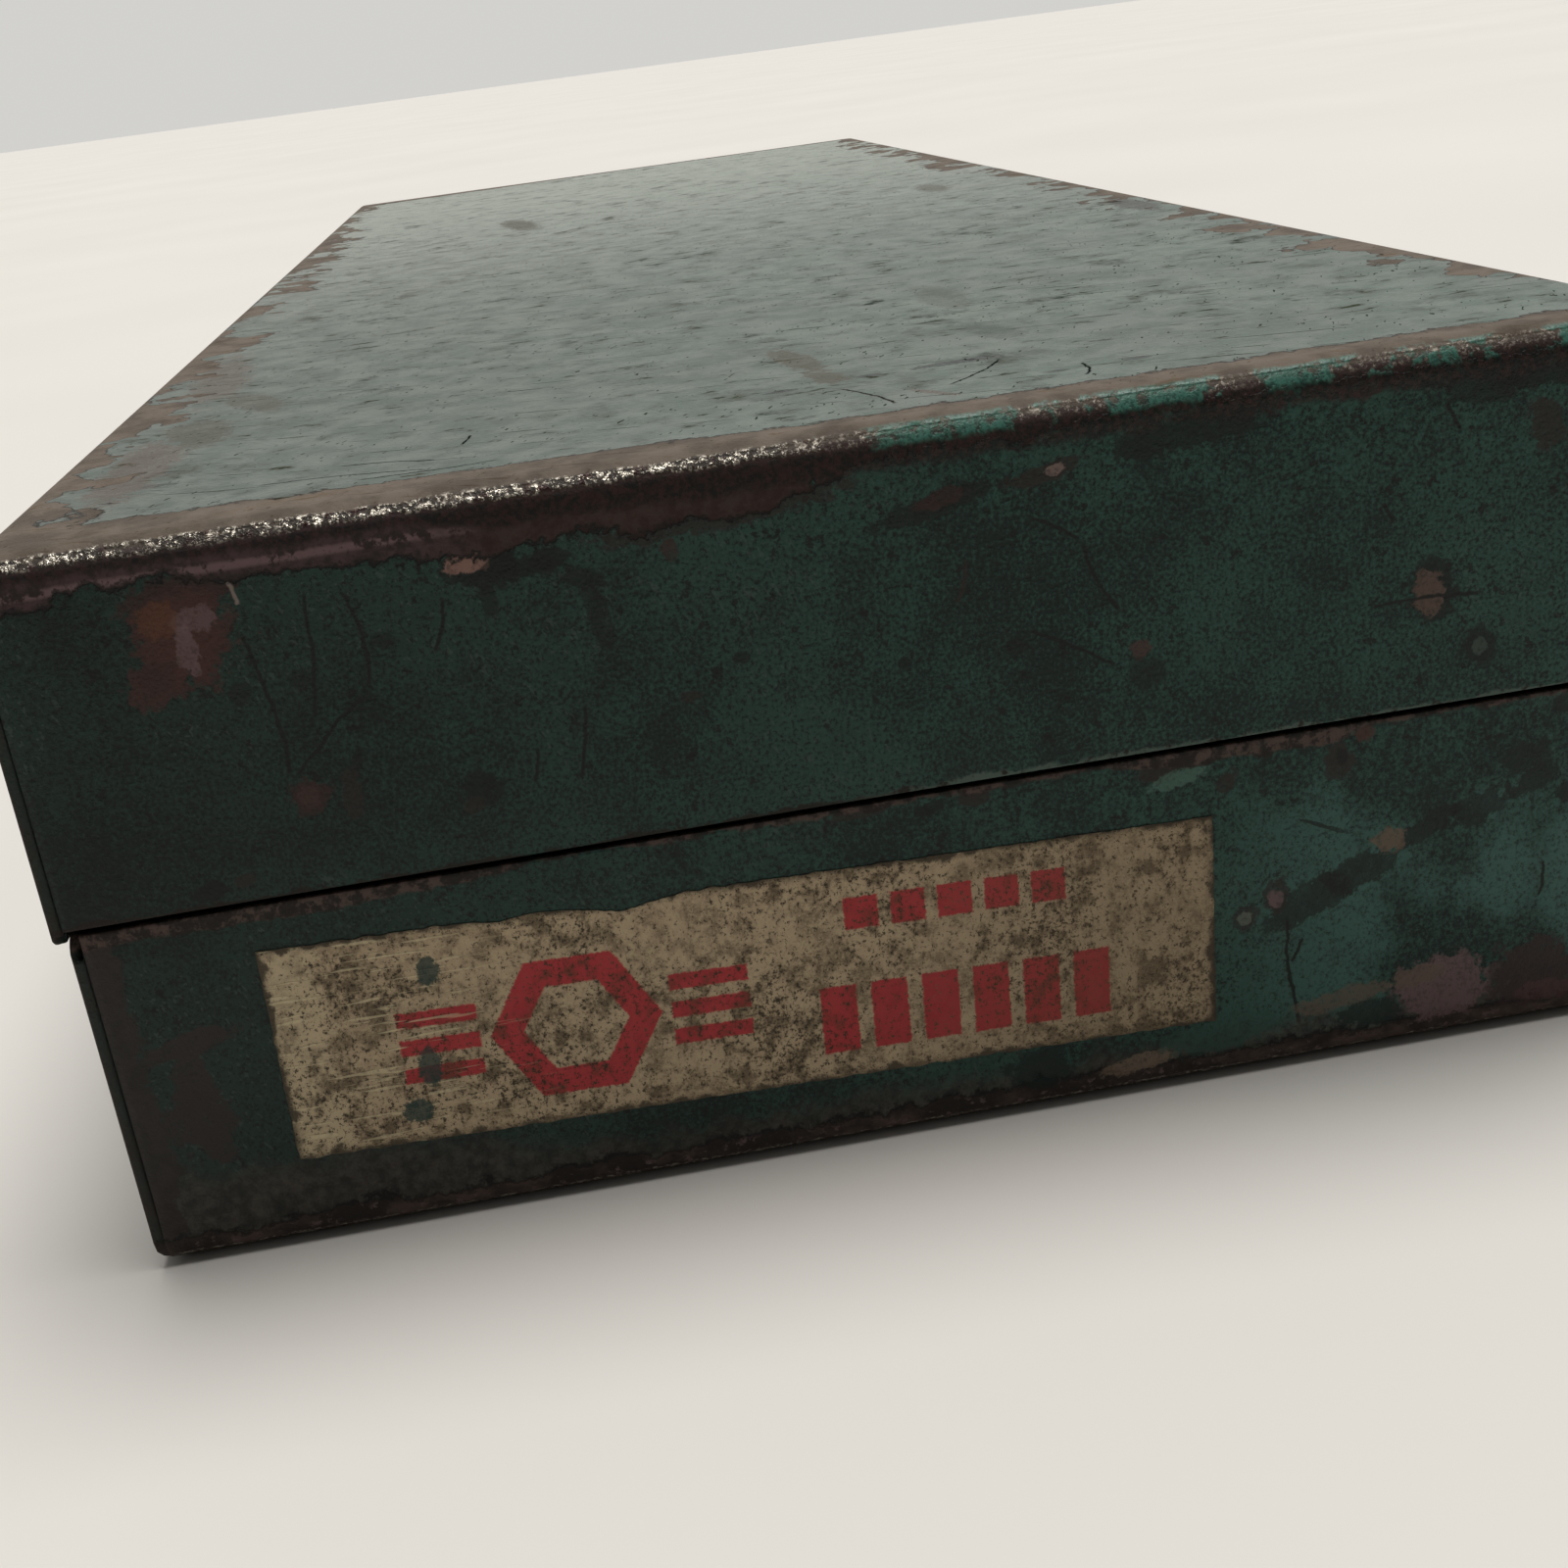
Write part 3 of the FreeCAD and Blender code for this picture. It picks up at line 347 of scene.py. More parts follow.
class Coat:
    """Enamel over primer over steel on one folded shell, built up layer by layer."""

    def __init__(self, name):
        self.look = Look(name)
        look = self.look
        self.place = look.place_mm()
        self.x, self.y, self.z = look.split(self.place)
        self.cloud = look.noise(self.place, 0.045, detail=2.0, rough=0.55)
        self.patch = look.noise(self.place, 0.21, detail=4.0, rough=0.62)
        self.ragged = look.noise(self.place, 0.9, detail=3.0, rough=0.68)
        self.grain = look.noise(self.place, 2.9, detail=2.0, rough=0.65)
        self.pits = look.noise(self.place, 1.7, detail=3.0, rough=0.85)
        self.sway = look.plus(self.about(self.patch, 5.0), self.about(self.ragged, 2.4))
        self.colour = None
        self.worn = None
        self.bare = None
        self.dark_flat = 0.0

    def about(self, noise_value, reach):
        """A noise value brought to -reach/2 .. reach/2."""
        return self.look.times(self.look.minus(noise_value, 0.5), reach)

    def swayed(self, value, share):
        """A distance made ragged by a share of the sway."""
        return self.look.plus(value, self.look.times(self.sway, share))

    def cover(self, mask, tint, strength=1.0):
        if strength != 1.0:
            mask = self.look.times(mask, strength)
        self.colour = self.look.mix(mask, self.colour, tint)

    def set_faces(self, end, side, flat):
        """Distances from the shell's outer end, long and flat faces."""
        look = self.look
        self.end, self.side = end, side
        self.wall = look.math("MINIMUM", end, side)
        self.across_fold = look.minus(flat, self.wall)
        nearest = look.math("MINIMUM", self.wall, flat)
        self.outside = look.step(nearest, 0.94, 0.84)
        self.on_end = look.step(end, 0.7, 0.5)
        self.on_flat = look.both(look.step(flat, 0.7, 0.5), self.outside)

    def enamel(self):
        """Dark green enamel: finely mottled, broadly clouded, with painted light: darker and greyer to the
        front as painted shade, lighter and tealer to the rear where more light falls.
        """
        look = self.look
        tone = look.plus(look.times(self.cloud, 0.34), look.times(self.patch, 0.2))
        tone = look.plus(tone, look.times(self.grain, 0.46))
        # Painted light: the lighter teal tones take over towards the rear (+Y) and the darker grey tones
        # towards the front, as if the rear side were lit more.
        teal = look.step(look.plus(self.y, self.about(self.patch, 50.0)), -75.0, 40.0)
        dark = look.mix(teal, GREY_SHADED_DARK, TEAL_DARK)
        light = look.mix(teal, GREY_SHADED_LIGHT, TEAL_LIGHT)
        self.colour = look.mix(look.step(tone, 0.4, 0.59), dark, light)
        self.cover(look.step(self.grain, 0.44, 0.3), SOOT, 0.75)
        smudge = look.both(look.step(self.patch, 0.5, 0.66), look.step(self.cloud, 0.44, 0.6))
        self.cover(smudge, GRIME, 0.32)
        flake = look.noise(self.place, 0.7, detail=3.0, rough=0.75)
        self.flakes = look.step(flake, 0.6, 0.66)
        self.cover(self.flakes, SOOT, 0.85)
        self.scratches = look.either(self.scratch(70, 25, 0.67), self.scratch(-35, 110, 0.68))
        self.cover(self.scratches, look.mix(look.step(self.cloud, 0.46, 0.54), SOOT, srgb(70, 82, 75)), 0.35)

    def scratch(self, tilt, turn, level):
        """Hairlines in one direction, broken into short runs."""
        look = self.look
        turned = look.tree.nodes.new("ShaderNodeVectorRotate")
        turned.rotation_type = "EULER_XYZ"
        look.feed(turned.inputs["Vector"], self.place)
        turned.inputs["Rotation"].default_value = (math.radians(tilt), 0.3, math.radians(turn))
        stretched = look.vector("MULTIPLY", turned.outputs[0], (2.6, 0.045, 2.6))
        return look.step(look.noise(stretched, 1.0, detail=1.0, rough=0.4), level, level + 0.03)

    def flat_sheen_and_smuts(self):
        """The flat face: paler as chalky paint with a painted sheen, paler still towards the far end as a
        painted reflection; dark soft smuts and flakes that do not shine, and short dark scores.
        """
        look = self.look
        # Painted sheen: the whole top is laid paler, partly chalky paint and partly the sheen of the bright
        # room.
        self.cover(self.on_flat, look.mix(look.step(self.patch, 0.4, 0.6), CHALK_AND_SHEEN, srgb(88, 102, 92)), 0.5)
        # Painted reflection: the top grows paler towards the far end, where it is seen at a grazing angle.
        self.cover(look.both(self.on_flat, look.step(self.x, 150.0, -190.0)), PAINTED_FAR_REFLECTION, 0.7)
        soft = look.noise(self.place, 0.2, detail=4.0, rough=0.66)
        smuts = look.both(look.step(soft, 0.5, 0.7), look.step(self.cloud, 0.36, 0.6, 0.25, 1.0))
        dashes = look.vector("MULTIPLY", self.place, (0.75, 0.27, 0.5))
        dashes = look.noise(dashes, 1.0, detail=3.0, rough=0.6)
        dashes = look.both(look.step(dashes, 0.57, 0.66), look.step(self.patch, 0.43, 0.6))
        scores = look.either(self.scratch(4, 20, 0.7), self.scratch(2, -68, 0.71))
        self.dark_flat = look.both(look.either(smuts, dashes, scores), self.on_flat)
        self.cover(self.dark_flat, look.mix(look.step(self.patch, 0.4, 0.64), GRIME, OLIVE), 0.7)

    def fold_wear(self, wall_band, flat_band, bare_half, flat_tint, wall_tint):
        """Paint gone along the folds: a band on the flat face, bare metal on the bend, a band on the wall."""
        look = self.look
        q = self.across_fold
        minus_q = look.times(q, -1.0)
        gap = look.math("MAXIMUM", look.minus(q, wall_band), look.minus(minus_q, flat_band))
        gap = self.swayed(gap, 1.0)
        self.worn = look.both(look.step(gap, 0.12, -0.08), self.outside)
        outline = look.both(look.step(look.absolute(look.plus(gap, 0.05)), 0.42, 0.08), self.outside)
        self.cover(self.worn, look.mix(look.step(q, -0.3, 0.6), flat_tint, wall_tint))
        self.cover(outline, SOOT, 0.75)
        bend = look.minus(look.absolute(look.minus(q, 0.05)), bare_half)
        self.bare = look.both(look.step(self.swayed(bend, 0.3), 0.25, -0.3), self.outside)
        self.bare = look.both(self.bare, look.step(self.patch, 0.36, 0.5, 0.35, 1.0))

    def shade_and_rust_under_fold(self, low, high, strength):
        """Painted shade and dark reflection on the lower part of the bend, mottled with dark pitted rust."""
        look = self.look
        q = self.across_fold
        past = look.minus(self.swayed(q, 0.4), high)
        under = look.both(look.step(self.swayed(q, 0.15), low - 0.3, low + 0.3), look.step(past, 0.5, -0.4))
        under = look.both(look.both(under, self.outside), look.step(self.ragged, 0.34, 0.48, 0.45, 1.0))
        self.cover(under, look.mix(look.step(self.pits, 0.42, 0.62), SOOT, RUST_DARK), strength)

    def bare_metal(self):
        look = self.look
        metal = look.mix(look.step(self.pits, 0.49, 0.6), STEEL_DARK, STEEL)
        metal = look.mix(look.step(self.ragged, 0.55, 0.64), metal, RUST_DARK)
        self.cover(self.bare, metal)

    def marks(self, across, up, face, listed):
        """Lays the listed blotches over one flat face, each a little broken up; returns where they are."""
        look = self.look
        ragged = look.plus(self.about(self.ragged, 1.7), self.about(self.patch, 1.3))
        broken = look.plus(look.times(self.grain, 0.5), look.times(self.ragged, 0.5))
        broken = look.both(look.step(broken, 0.36, 0.54, 0.5, 1.0), face)
        blotches = []
        for centre, half_size, turn, tint, strength in listed:
            blotches.append(look.both(look.spot(across, up, ragged, centre, half_size, turn), broken))
            self.cover(blotches[-1], tint, strength)
        return look.either(*blotches)

    def cracks(self, across, up, face, listed):
        """Draws the listed hairlines over one flat face, and returns where they are."""
        look = self.look
        sway = look.plus(self.about(self.patch, 1.1), self.about(self.ragged, 0.4))
        lines = []
        for start, stop, sag, tint in listed:
            lines.append(look.both(look.hairline(across, up, sway, start, stop, sag), face))
            self.cover(lines[-1], tint, 0.95)
        return look.either(*lines)

    def raw_edges(self, rim, rim_band, rim_tint):
        """Wear on the sheet's raw edges: the strips at the corners and the rim."""
        look = self.look
        strip = look.both(self.on_end, look.step(self.side, 1.04, 0.98))
        self.cover(strip, look.mix(look.step(self.patch, 0.42, 0.6), srgb(30, 38, 32), BROWN_GRIME), 0.75)
        arris = look.plus(look.plus(self.end, self.side), self.about(self.ragged, 0.5))
        self.cover(look.step(arris, 0.32, 0.12), RUST_DARK, 0.8)
        gap = look.absolute(look.minus(self.z, rim))
        gap = self.swayed(look.minus(gap, rim_band), 0.45)
        self.rim_worn = look.step(gap, 0.2, -0.1)
        self.cover(self.rim_worn, rim_tint, 0.9)

    def material(self):
        look = self.look
        dull = look.either(self.worn, self.rim_worn)
        relief = look.times(self.grain, 0.8)
        relief = look.plus(relief, look.times(self.ragged, 0.7))
        relief = look.plus(relief, look.both(self.on_flat, look.times(self.patch, 1.2)))
        relief = look.plus(relief, look.both(self.bare, look.times(self.pits, 2.4)))
        relief = look.minus(relief, look.times(self.worn, 0.6))
        metallic = look.times(self.bare, look.step(self.pits, 0.46, 0.62, 0.1, 0.95))
        roughness = look.blend(dull, look.plus(look.times(self.patch, 0.24), 0.3), 0.66)
        roughness = look.blend(self.bare, roughness, look.step(self.pits, 0.4, 0.6, 0.5, 0.22))
        shine = look.blend(look.both(self.on_flat, look.away(dull)), 0.2, 0.42)
        shine = look.both(shine, look.away(self.dark_flat))
        look.finish(self.colour, roughness, metallic, relief, bump_mm=0.1, specular=shine)
        return look.material


def distance_in(look, value, middle, half):
    """How far inside a pair of faces a coordinate is."""
    return look.minus(half, look.absolute(look.minus(value, middle)))


def lid_fold_bands(coat):
    """How far the lid's wear reaches down the wall and in over the top, place by place along the fold."""
    look = coat.look
    left_half = look.step(coat.y, 1.0, -9.0)
    middle = look.step(coat.y, 19.0, 12.0)
    wall_band = look.blend(left_half, look.blend(middle, 1.5, 2.7), 5.2)
    wall_band = look.blend(look.step(coat.y, -32.0, -52.0), wall_band, 3.9)
    flat_band = look.step(coat.y, 5.0, -50.0, 5.4, 8.6)
    tongues = look.noise(coat.place, 0.085, detail=3.0, rough=0.6)
    long_edge = look.step(look.minus(coat.end, coat.side), 0.0, 12.0)
    flat_band = look.blend(long_edge, flat_band, look.step(tongues, 0.36, 0.64, 1.5, 10.5))
    return wall_band, flat_band


def lid_teal_paint_and_highlight(coat):
    """Lighter teal along the right part of the fold, where less of the metal is bare: teal paint, partly a
    painted highlight where the bend catches the light.
    """
    look = coat.look
    teal = look.both(look.step(coat.y, -8.0, 6.0), look.step(coat.swayed(coat.patch, 0.02), 0.46, 0.52))
    coat.bare = look.both(coat.bare, look.away(look.times(teal, 0.9)))
    coat.bare = look.both(coat.bare, look.step(coat.y, -12.0, 6.0, 1.0, 0.4))
    coat.bare_metal()
    on_bend = look.step(coat.swayed(look.absolute(look.minus(coat.across_fold, 0.2)), 0.4), 1.9, 1.2)
    teal = look.both(look.both(teal, on_bend), coat.outside)
    teal = look.both(teal, look.step(coat.ragged, 0.36, 0.5, 0.2, 1.0))
    # Partly painted highlight: lighter teal laid on the bend, where the paint catches the light.
    coat.cover(teal, look.mix(look.step(coat.grain, 0.36, 0.56), TEAL_LIGHT, LIT_TEAL_PAINT), 0.9)
    coat.worn = look.both(coat.worn, look.away(teal))


def lid_paint():
    coat = Coat("lid_paint")
    look = coat.look
    coat.set_faces(
        distance_in(look, coat.x, 0.0, HALF_LENGTH),
        distance_in(look, coat.y, 0.0, HALF_WIDTH),
        look.minus(TALL, coat.z),
    )
    coat.enamel()
    coat.flat_sheen_and_smuts()
    label_end = look.both(coat.on_end, look.step(coat.x, 0.0, 1.0))
    coat.marks(coat.y, coat.z, label_end, LID_END_MARKS)
    coat.cracks(coat.y, coat.z, label_end, LID_END_CRACKS)
    stains = coat.marks(coat.x, coat.y, coat.on_flat, TOP_MARKS)
    scratches = coat.cracks(coat.x, coat.y, coat.on_flat, TOP_CRACKS)
    coat.dark_flat = look.either(coat.dark_flat, look.times(stains, 0.6), scratches)

    q = coat.across_fold
    left = look.step(coat.swayed(coat.y, 2.0), -28.0, -36.0)
    brown = look.mix(look.step(coat.ragged, 0.36, 0.62), RUST_DARK, srgb(60, 47, 43))
    primer = look.mix(look.step(coat.ragged, 0.34, 0.6), BROWN_WORN, PRIMER_DARK)
    # Painted highlight: a pale pink streak along the primer band on the left, where the band catches the
    # light.
    painted_highlight_streak = look.step(look.absolute(look.minus(coat.swayed(q, 0.12), 3.1)), 0.5, 0.12)
    primer = look.mix(look.both(painted_highlight_streak, look.step(coat.ragged, 0.4, 0.52)), primer, PINK)
    tan = look.mix(look.step(coat.patch, 0.36, 0.6), TAN, TAN_PALE)
    wall_band, flat_band = lid_fold_bands(coat)
    coat.fold_wear(wall_band, flat_band, 0.85, tan, look.mix(left, brown, primer))
    # Painted shade and dark reflection along the lower part of the lid's bend, with dark pitted rust.
    coat.shade_and_rust_under_fold(1.1, look.blend(left, 3.4, 2.0), 0.9)
    lid_teal_paint_and_highlight(coat)
    chipped = look.both(look.step(coat.y, -8.0, 8.0), look.step(coat.ragged, 0.36, 0.5))
    rim_tint = look.mix(chipped, BROWN_GRIME, CHIPPED_TEAL)
    coat.raw_edges(LID_RIM, 0.35, rim_tint)
    return coat.material()


def base_paint():
    coat = Coat("base_paint")
    look = coat.look
    coat.set_faces(
        distance_in(look, coat.x, 0.0, HALF_LENGTH),
        distance_in(look, coat.y, (BASE_LOW.y + BASE_HIGH.y) / 2 / MM, (BASE_HIGH.y - BASE_LOW.y) / 2 / MM),
        coat.z,
    )
    coat.enamel()
    to_right = look.step(coat.y, 22.0, 44.0)
    wash = look.both(to_right, look.step(coat.swayed(look.times(coat.cloud, 20.0), 1.0), 8.2, 11.2))
    coat.cover(look.both(wash, look.step(coat.grain, 0.3, 0.55, 0.35, 1.0)), TEAL_WASH, 0.7)
    label_end = look.both(coat.on_end, look.step(coat.x, 0.0, 1.0))
    coat.marks(coat.y, coat.z, label_end, BASE_END_MARKS)
    coat.cracks(coat.y, coat.z, label_end, BASE_END_CRACKS)
    left = look.step(coat.y, -25.0, -50.0)
    foot = look.blend(left, 4.6, 8.4)
    dirt = look.step(coat.swayed(look.minus(coat.z, foot), 1.2), 1.6, -1.4)
    soil = look.mix(look.step(coat.ragged, 0.3, 0.78), srgb(34, 32, 29), srgb(78, 71, 64))
    coat.cover(look.both(dirt, coat.outside), soil, 0.8)
    front = look.plus(coat.y, -BASE_LOW.y / MM)
    lapped = look.step(coat.swayed(look.minus(front, 3.4), 0.9), 0.3, -0.2)
    lapped = look.both(look.both(lapped, coat.on_end), look.step(front, 0.98, 1.06))
    coat.cover(lapped, look.mix(look.step(coat.ragged, 0.4, 0.6), BROWN_GRIME, BROWN_WORN), 0.9)
    sole = look.mix(look.step(coat.patch, 0.42, 0.62), BROWN_GRIME, BROWN_PALE)
    coat.fold_wear(2.9, 6.0, 0.5, TAN, look.mix(look.step(coat.ragged, 0.56, 0.68), sole, PRIMER))
    coat.bare_metal()
    coat.marks(coat.y, coat.z, label_end, BASE_FOOT_MARKS)
    right = look.both(look.step(coat.y, 18.0, 24.0), look.step(coat.y, 43.0, 38.0))
    band = look.blend(look.either(left, right), 0.3, 1.3)
    coat.raw_edges(BASE_RIM, band, look.mix(look.step(coat.ragged, 0.42, 0.6), BROWN_GRIME, srgb(84, 68, 62)))
    return coat.material()


def tray_paint():
    coat = Coat("tray_paint")
    look = coat.look
    coat.set_faces(
        distance_in(look, coat.x, 0.0, TRAY_HIGH.x / MM),
        distance_in(look, coat.y, (TRAY_LOW.y + TRAY_HIGH.y) / 2 / MM, (TRAY_HIGH.y - TRAY_LOW.y) / 2 / MM),
        look.minus(coat.z, TRAY_LOW.z / MM),
    )
    coat.enamel()
    coat.fold_wear(0.6, 1.2, 0.4, TAN, PRIMER)
    coat.bare_metal()
    coat.raw_edges(TRAY_HIGH.z / MM, 0.3, look.mix(look.step(coat.ragged, 0.42, 0.6), STEEL_DARK, RUST_DARK))
    return coat.material()


# Marks on the labelled end: centre (y, z), half size, turn in degrees, colour, strength.
LID_END_MARKS = [
    ((-53.8, 58.6), (4.4, 2.2), 0, RUST_DARK, 0.95),
    ((-53.6, 55.4), (4.1, 4.4), 0, srgb(60, 37, 33), 1.0),
    ((-57.2, 51.7), (2.1, 1.7), 20, srgb(60, 37, 33), 1.0),
    ((-53.8, 55.2), (3.2, 3.4), 0, srgb(66, 39, 34), 0.9),
    ((-56.6, 52.4), (1.5, 1.1), 20, RUST_DARK, 0.7),
    ((-52.6, 56.5), (1.9, 1.1), 0, PINK, 0.6),
    ((-53.7, 54.3), (0.9, 2.4), -4, PINK, 0.7),
    ((-55.4, 57.0), (1.5, 1.5), 0, RUST_BRIGHT, 0.6),
    ((-30.6, 57.4), (3.6, 2.0), -10, SOOT, 0.9),
    ((-31.5, 58.0), (1.8, 1.1), 5, srgb(128, 98, 88), 0.95),
    ((-27.6, 56.8), (2.8, 1.1), 0, SOOT, 0.85),
    ((-25.0, 57.2), (1.6, 0.9), 0, SOOT, 0.85),
    ((-30.2, 54.6), (0.6, 1.6), 0, SOOT, 0.75),
    ((-22.8, 55.2), (1.8, 0.9), -30, SOOT, 0.8),
    ((-22.0, 52.2), (0.9, 3.0), 8, SOOT, 0.7),
    ((-15.7, 56.5), (0.7, 0.9), 0, RUST_DARK, 0.85),
    ((-12.0, 58.6), (11.0, 1.3), 3, BROWN_GRIME, 0.85),
    ((6.0, 56.7), (6.4, 0.9), 12, SOOT, 0.85),
    ((6.2, 57.0), (2.4, 0.7), 12, RUST_DARK, 0.8),
    ((14.6, 57.8), (3.8, 0.8), 10, BROWN_GRIME, 0.9),
    ((15.6, 58.0), (0.8, 0.45), 8, srgb(116, 98, 92), 0.9),
    ((26.0, 59.4), (6.2, 1.5), 4, GRIME, 0.85),
    ((41.6, 61.3), (2.9, 1.4), 0, RUST_DARK, 0.9),
    ((51.4, 60.0), (3.2, 1.9), 0, SOOT, 0.8),
    ((57.0, 60.8), (5.4, 2.2), 0, SOOT, 0.85),
    ((56.6, 55.6), (1.6, 2.6), 8, BROWN_GRIME, 0.9),
    ((21.8, 42.0), (0.9, 0.9), 0, srgb(68, 48, 43), 0.85),
    ((22.2, 39.8), (1.6, 1.5), 0, GRIME, 0.6),
    ((47.0, 42.9), (1.9, 2.8), 16, SOOT, 0.9),
    ((46.6, 42.8), (1.3, 1.9), 10, srgb(88, 70, 62), 0.9),
    ((51.1, 37.4), (1.5, 1.6), -20, SOOT, 0.8),
    ((51.1, 37.4), (0.7, 0.8), 0, srgb(64, 76, 70), 0.7),
    ((-47.2, 40.9), (1.9, 1.6), 0, RUST_DARK, 0.95),
    ((-47.2, 40.9), (1.2, 1.1), 0, srgb(66, 46, 41), 0.6),
    ((-43.0, 43.0), (0.5, 1.6), -20, SOOT, 0.8),
    ((-43.8, 40.6), (0.8, 2.2), -8, BROWN_GRIME, 0.8),
    ((-33.6, 39.4), (1.9, 1.7), 20, SOOT, 0.85),
    ((-34.4, 37.8), (0.9, 0.8), 0, BROWN_GRIME, 0.8),
    ((-39.0, 52.6), (1.0, 0.8), 0, SOOT, 0.7),
    ((-45.8, 50.6), (0.9, 0.9), 0, SOOT, 0.6),
    ((-50.6, 50.2), (0.9, 1.0), 0, GRIME, 0.8),
    ((-59.6, 55.9), (0.5, 0.6), 0, SOOT, 0.8),
    ((-56.5, 34.2), (1.6, 0.9), 8, SOOT, 0.9),
    ((-53.8, 34.6), (1.0, 0.6), 0, BROWN_GRIME, 0.9),
    ((-11.4, 46.6), (0.9, 0.6), 0, SOOT, 0.8),
    ((-15.9, 44.0), (1.0, 0.6), 0, BROWN_GRIME, 0.7),
    ((2.0, 44.0), (0.6, 0.7), 0, SOOT, 0.7),
    ((11.4, 43.8), (0.9, 0.7), 0, SOOT, 0.7),
]
# Hairlines on the labelled end: start and stop (y, z), sideways bow, colour.
LID_END_CRACKS = [
    ((-49.8, 59.4), (-49.1, 57.2), 0.1, srgb(120, 108, 100)),
    ((-49.6, 55.5), (-48.1, 42.4), 0.4, SOOT),
    ((-44.1, 57.8), (-45.5, 47.1), 0.3, SOOT),
    ((-41.5, 57.3), (-40.8, 48.8), 0.7, SOOT),
    ((-40.8, 48.8), (-47.9, 42.3), -0.3, SOOT),
    ((-33.7, 55.3), (-35.1, 50.9), 0.2, SOOT),
    ((-24.3, 44.9), (-25.4, 38.6), 0.1, SOOT),
    ((-28.5, 41.9), (-29.2, 38.8), 0.1, SOOT),
    ((13.2, 54.5), (17.2, 52.0), 0.2, SOOT),
    ((17.4, 51.8), (20.3, 45.3), -0.5, SOOT),
    ((12.2, 45.0), (19.8, 40.8), 0.2, SOOT),
    ((7.7, 51.9), (6.5, 48.2), 0.2, BROWN_GRIME),
    ((42.7, 51.1), (43.5, 49.1), 0.0, SOOT),
    ((48.0, 58.6), (49.3, 56.0), 0.0, SOOT),
    ((41.4, 42.3), (51.4, 41.9), 0.2, SOOT),
]
BASE_END_MARKS = [
    ((-61.6, 20.9), (4.4, 1.1), 12, BROWN_WORN, 1.0),
    ((-62.0, 17.4), (1.6, 2.8), 0, BROWN_WORN, 1.0),
    ((-62.1, 14.0), (3.1, 2.7), 0, BROWN_WORN, 1.0),
    ((-61.2, 11.0), (1.3, 2.2), 20, BROWN_WORN, 0.95),
    ((35.6, 16.2), (4.2, 1.8), 22, GRIME, 0.8),
    ((40.2, 18.4), (3.6, 1.7), 22, GRIME, 0.85),
    ((46.0, 21.4), (3.6, 1.0), 24, GRIME, 0.8),
    ((51.2, 22.5), (3.0, 1.7), 22, SOOT, 0.75),
    ((56.2, 24.3), (2.6, 1.2), 22, GRIME, 0.8),
    ((42.9, 20.9), (1.6, 1.3), 0, srgb(100, 86, 71), 0.95),
    ((32.5, 17.3), (1.1, 1.8), 0, BROWN_GRIME, 0.85),
    ((32.4, 17.0), (0.7, 0.8), 0, PINK, 0.8),
    ((29.6, 15.6), (1.3, 1.1), 0, BROWN_GRIME, 0.8),
    ((29.6, 15.6), (0.7, 0.6), 0, srgb(96, 104, 92), 0.7),
    ((28.5, 28.9), (1.0, 1.4), -20, BROWN_GRIME, 0.9),
    ((38.4, 29.0), (1.4, 1.8), 0, BROWN_GRIME, 0.9),
    ((38.8, 29.4), (0.5, 0.8), 0, SOOT, 0.9),
    ((22.6, 30.6), (2.2, 1.0), 8, BROWN_GRIME, 0.9),
    ((24.0, 29.8), (2.8, 0.9), 8, srgb(74, 106, 94), 0.7),
    ((40.8, 31.2), (1.0, 1.0), 0, RUST, 0.85),
    ((6.6, 31.4), (1.3, 0.9), 0, BROWN_GRIME, 0.95),
    ((2.8, 31.0), (1.5, 0.6), 10, SOOT, 0.8),
    ((-3.4, 31.6), (2.4, 0.5), 4, BROWN_GRIME, 0.8),
    ((55.6, 26.6), (2.4, 1.6), 10, GRIME, 0.75),
    ((59.2, 22.6), (0.9, 1.2), 0, SOOT, 0.85),
    ((58.9, 31.2), (1.0, 1.2), 0, SOOT, 0.85),
    ((37.0, 23.2), (2.6, 0.25), -25, SOOT, 0.8),
]
BASE_END_CRACKS = [
    ((33.4, 15.4), (34.4, 3.6), -0.4, SOOT),
    ((33.6, 10.6), (34.8, 12.8), 0.0, SOOT),
    ((57.0, 16.4), (56.6, 12.8), 0.2, SOOT),
]
BASE_FOOT_MARKS = [
    ((19.4, 3.2), (3.2, 0.9), 6, srgb(120, 104, 88), 0.8),
    ((10.6, 4.6), (3.6, 1.8), 0, TEAL_DARK, 0.8),
    ((27.0, 4.6), (5.4, 1.7), 2, TEAL_LIGHT, 0.7),
    ((38.6, 6.1), (4.4, 1.0), 6, srgb(92, 82, 70), 0.85),
    ((48.0, 5.4), (4.8, 2.9), 0, PINK, 0.95),
    ((45.4, 7.0), (2.4, 0.9), 6, srgb(100, 84, 72), 0.7),
    ((41.0, 4.0), (3.2, 1.5), 0, TEAL_DARK, 0.85),
    ((56.6, 5.2), (4.6, 3.6), 0, srgb(52, 38, 38), 0.95),
    ((57.6, 3.2), (3.0, 1.2), 0, srgb(82, 56, 56), 0.7),
]
# Scratches on the lid's top: start (x, y), stop, how far the line bows sideways, colour.
TOP_CRACKS = [
    ((185.7, 1.7), (198.1, 4.7), 0.8, BROWN_GRIME),
    ((192.8, 10.3), (182.7, 17.2), -0.6, SOOT),
    ((191.1, 22.4), (197.7, 20.9), 0.5, SOOT),
    ((190.7, -49.0), (195.8, -33.3), 1.0, SOOT),
    ((186.7, -42.1), (191.2, -33.1), 0.4, SOOT),
    ((195.5, -40.1), (195.7, -27.5), -0.5, SOOT),
    ((181.0, -30.7), (185.4, -31.3), 0.2, SOOT),
]

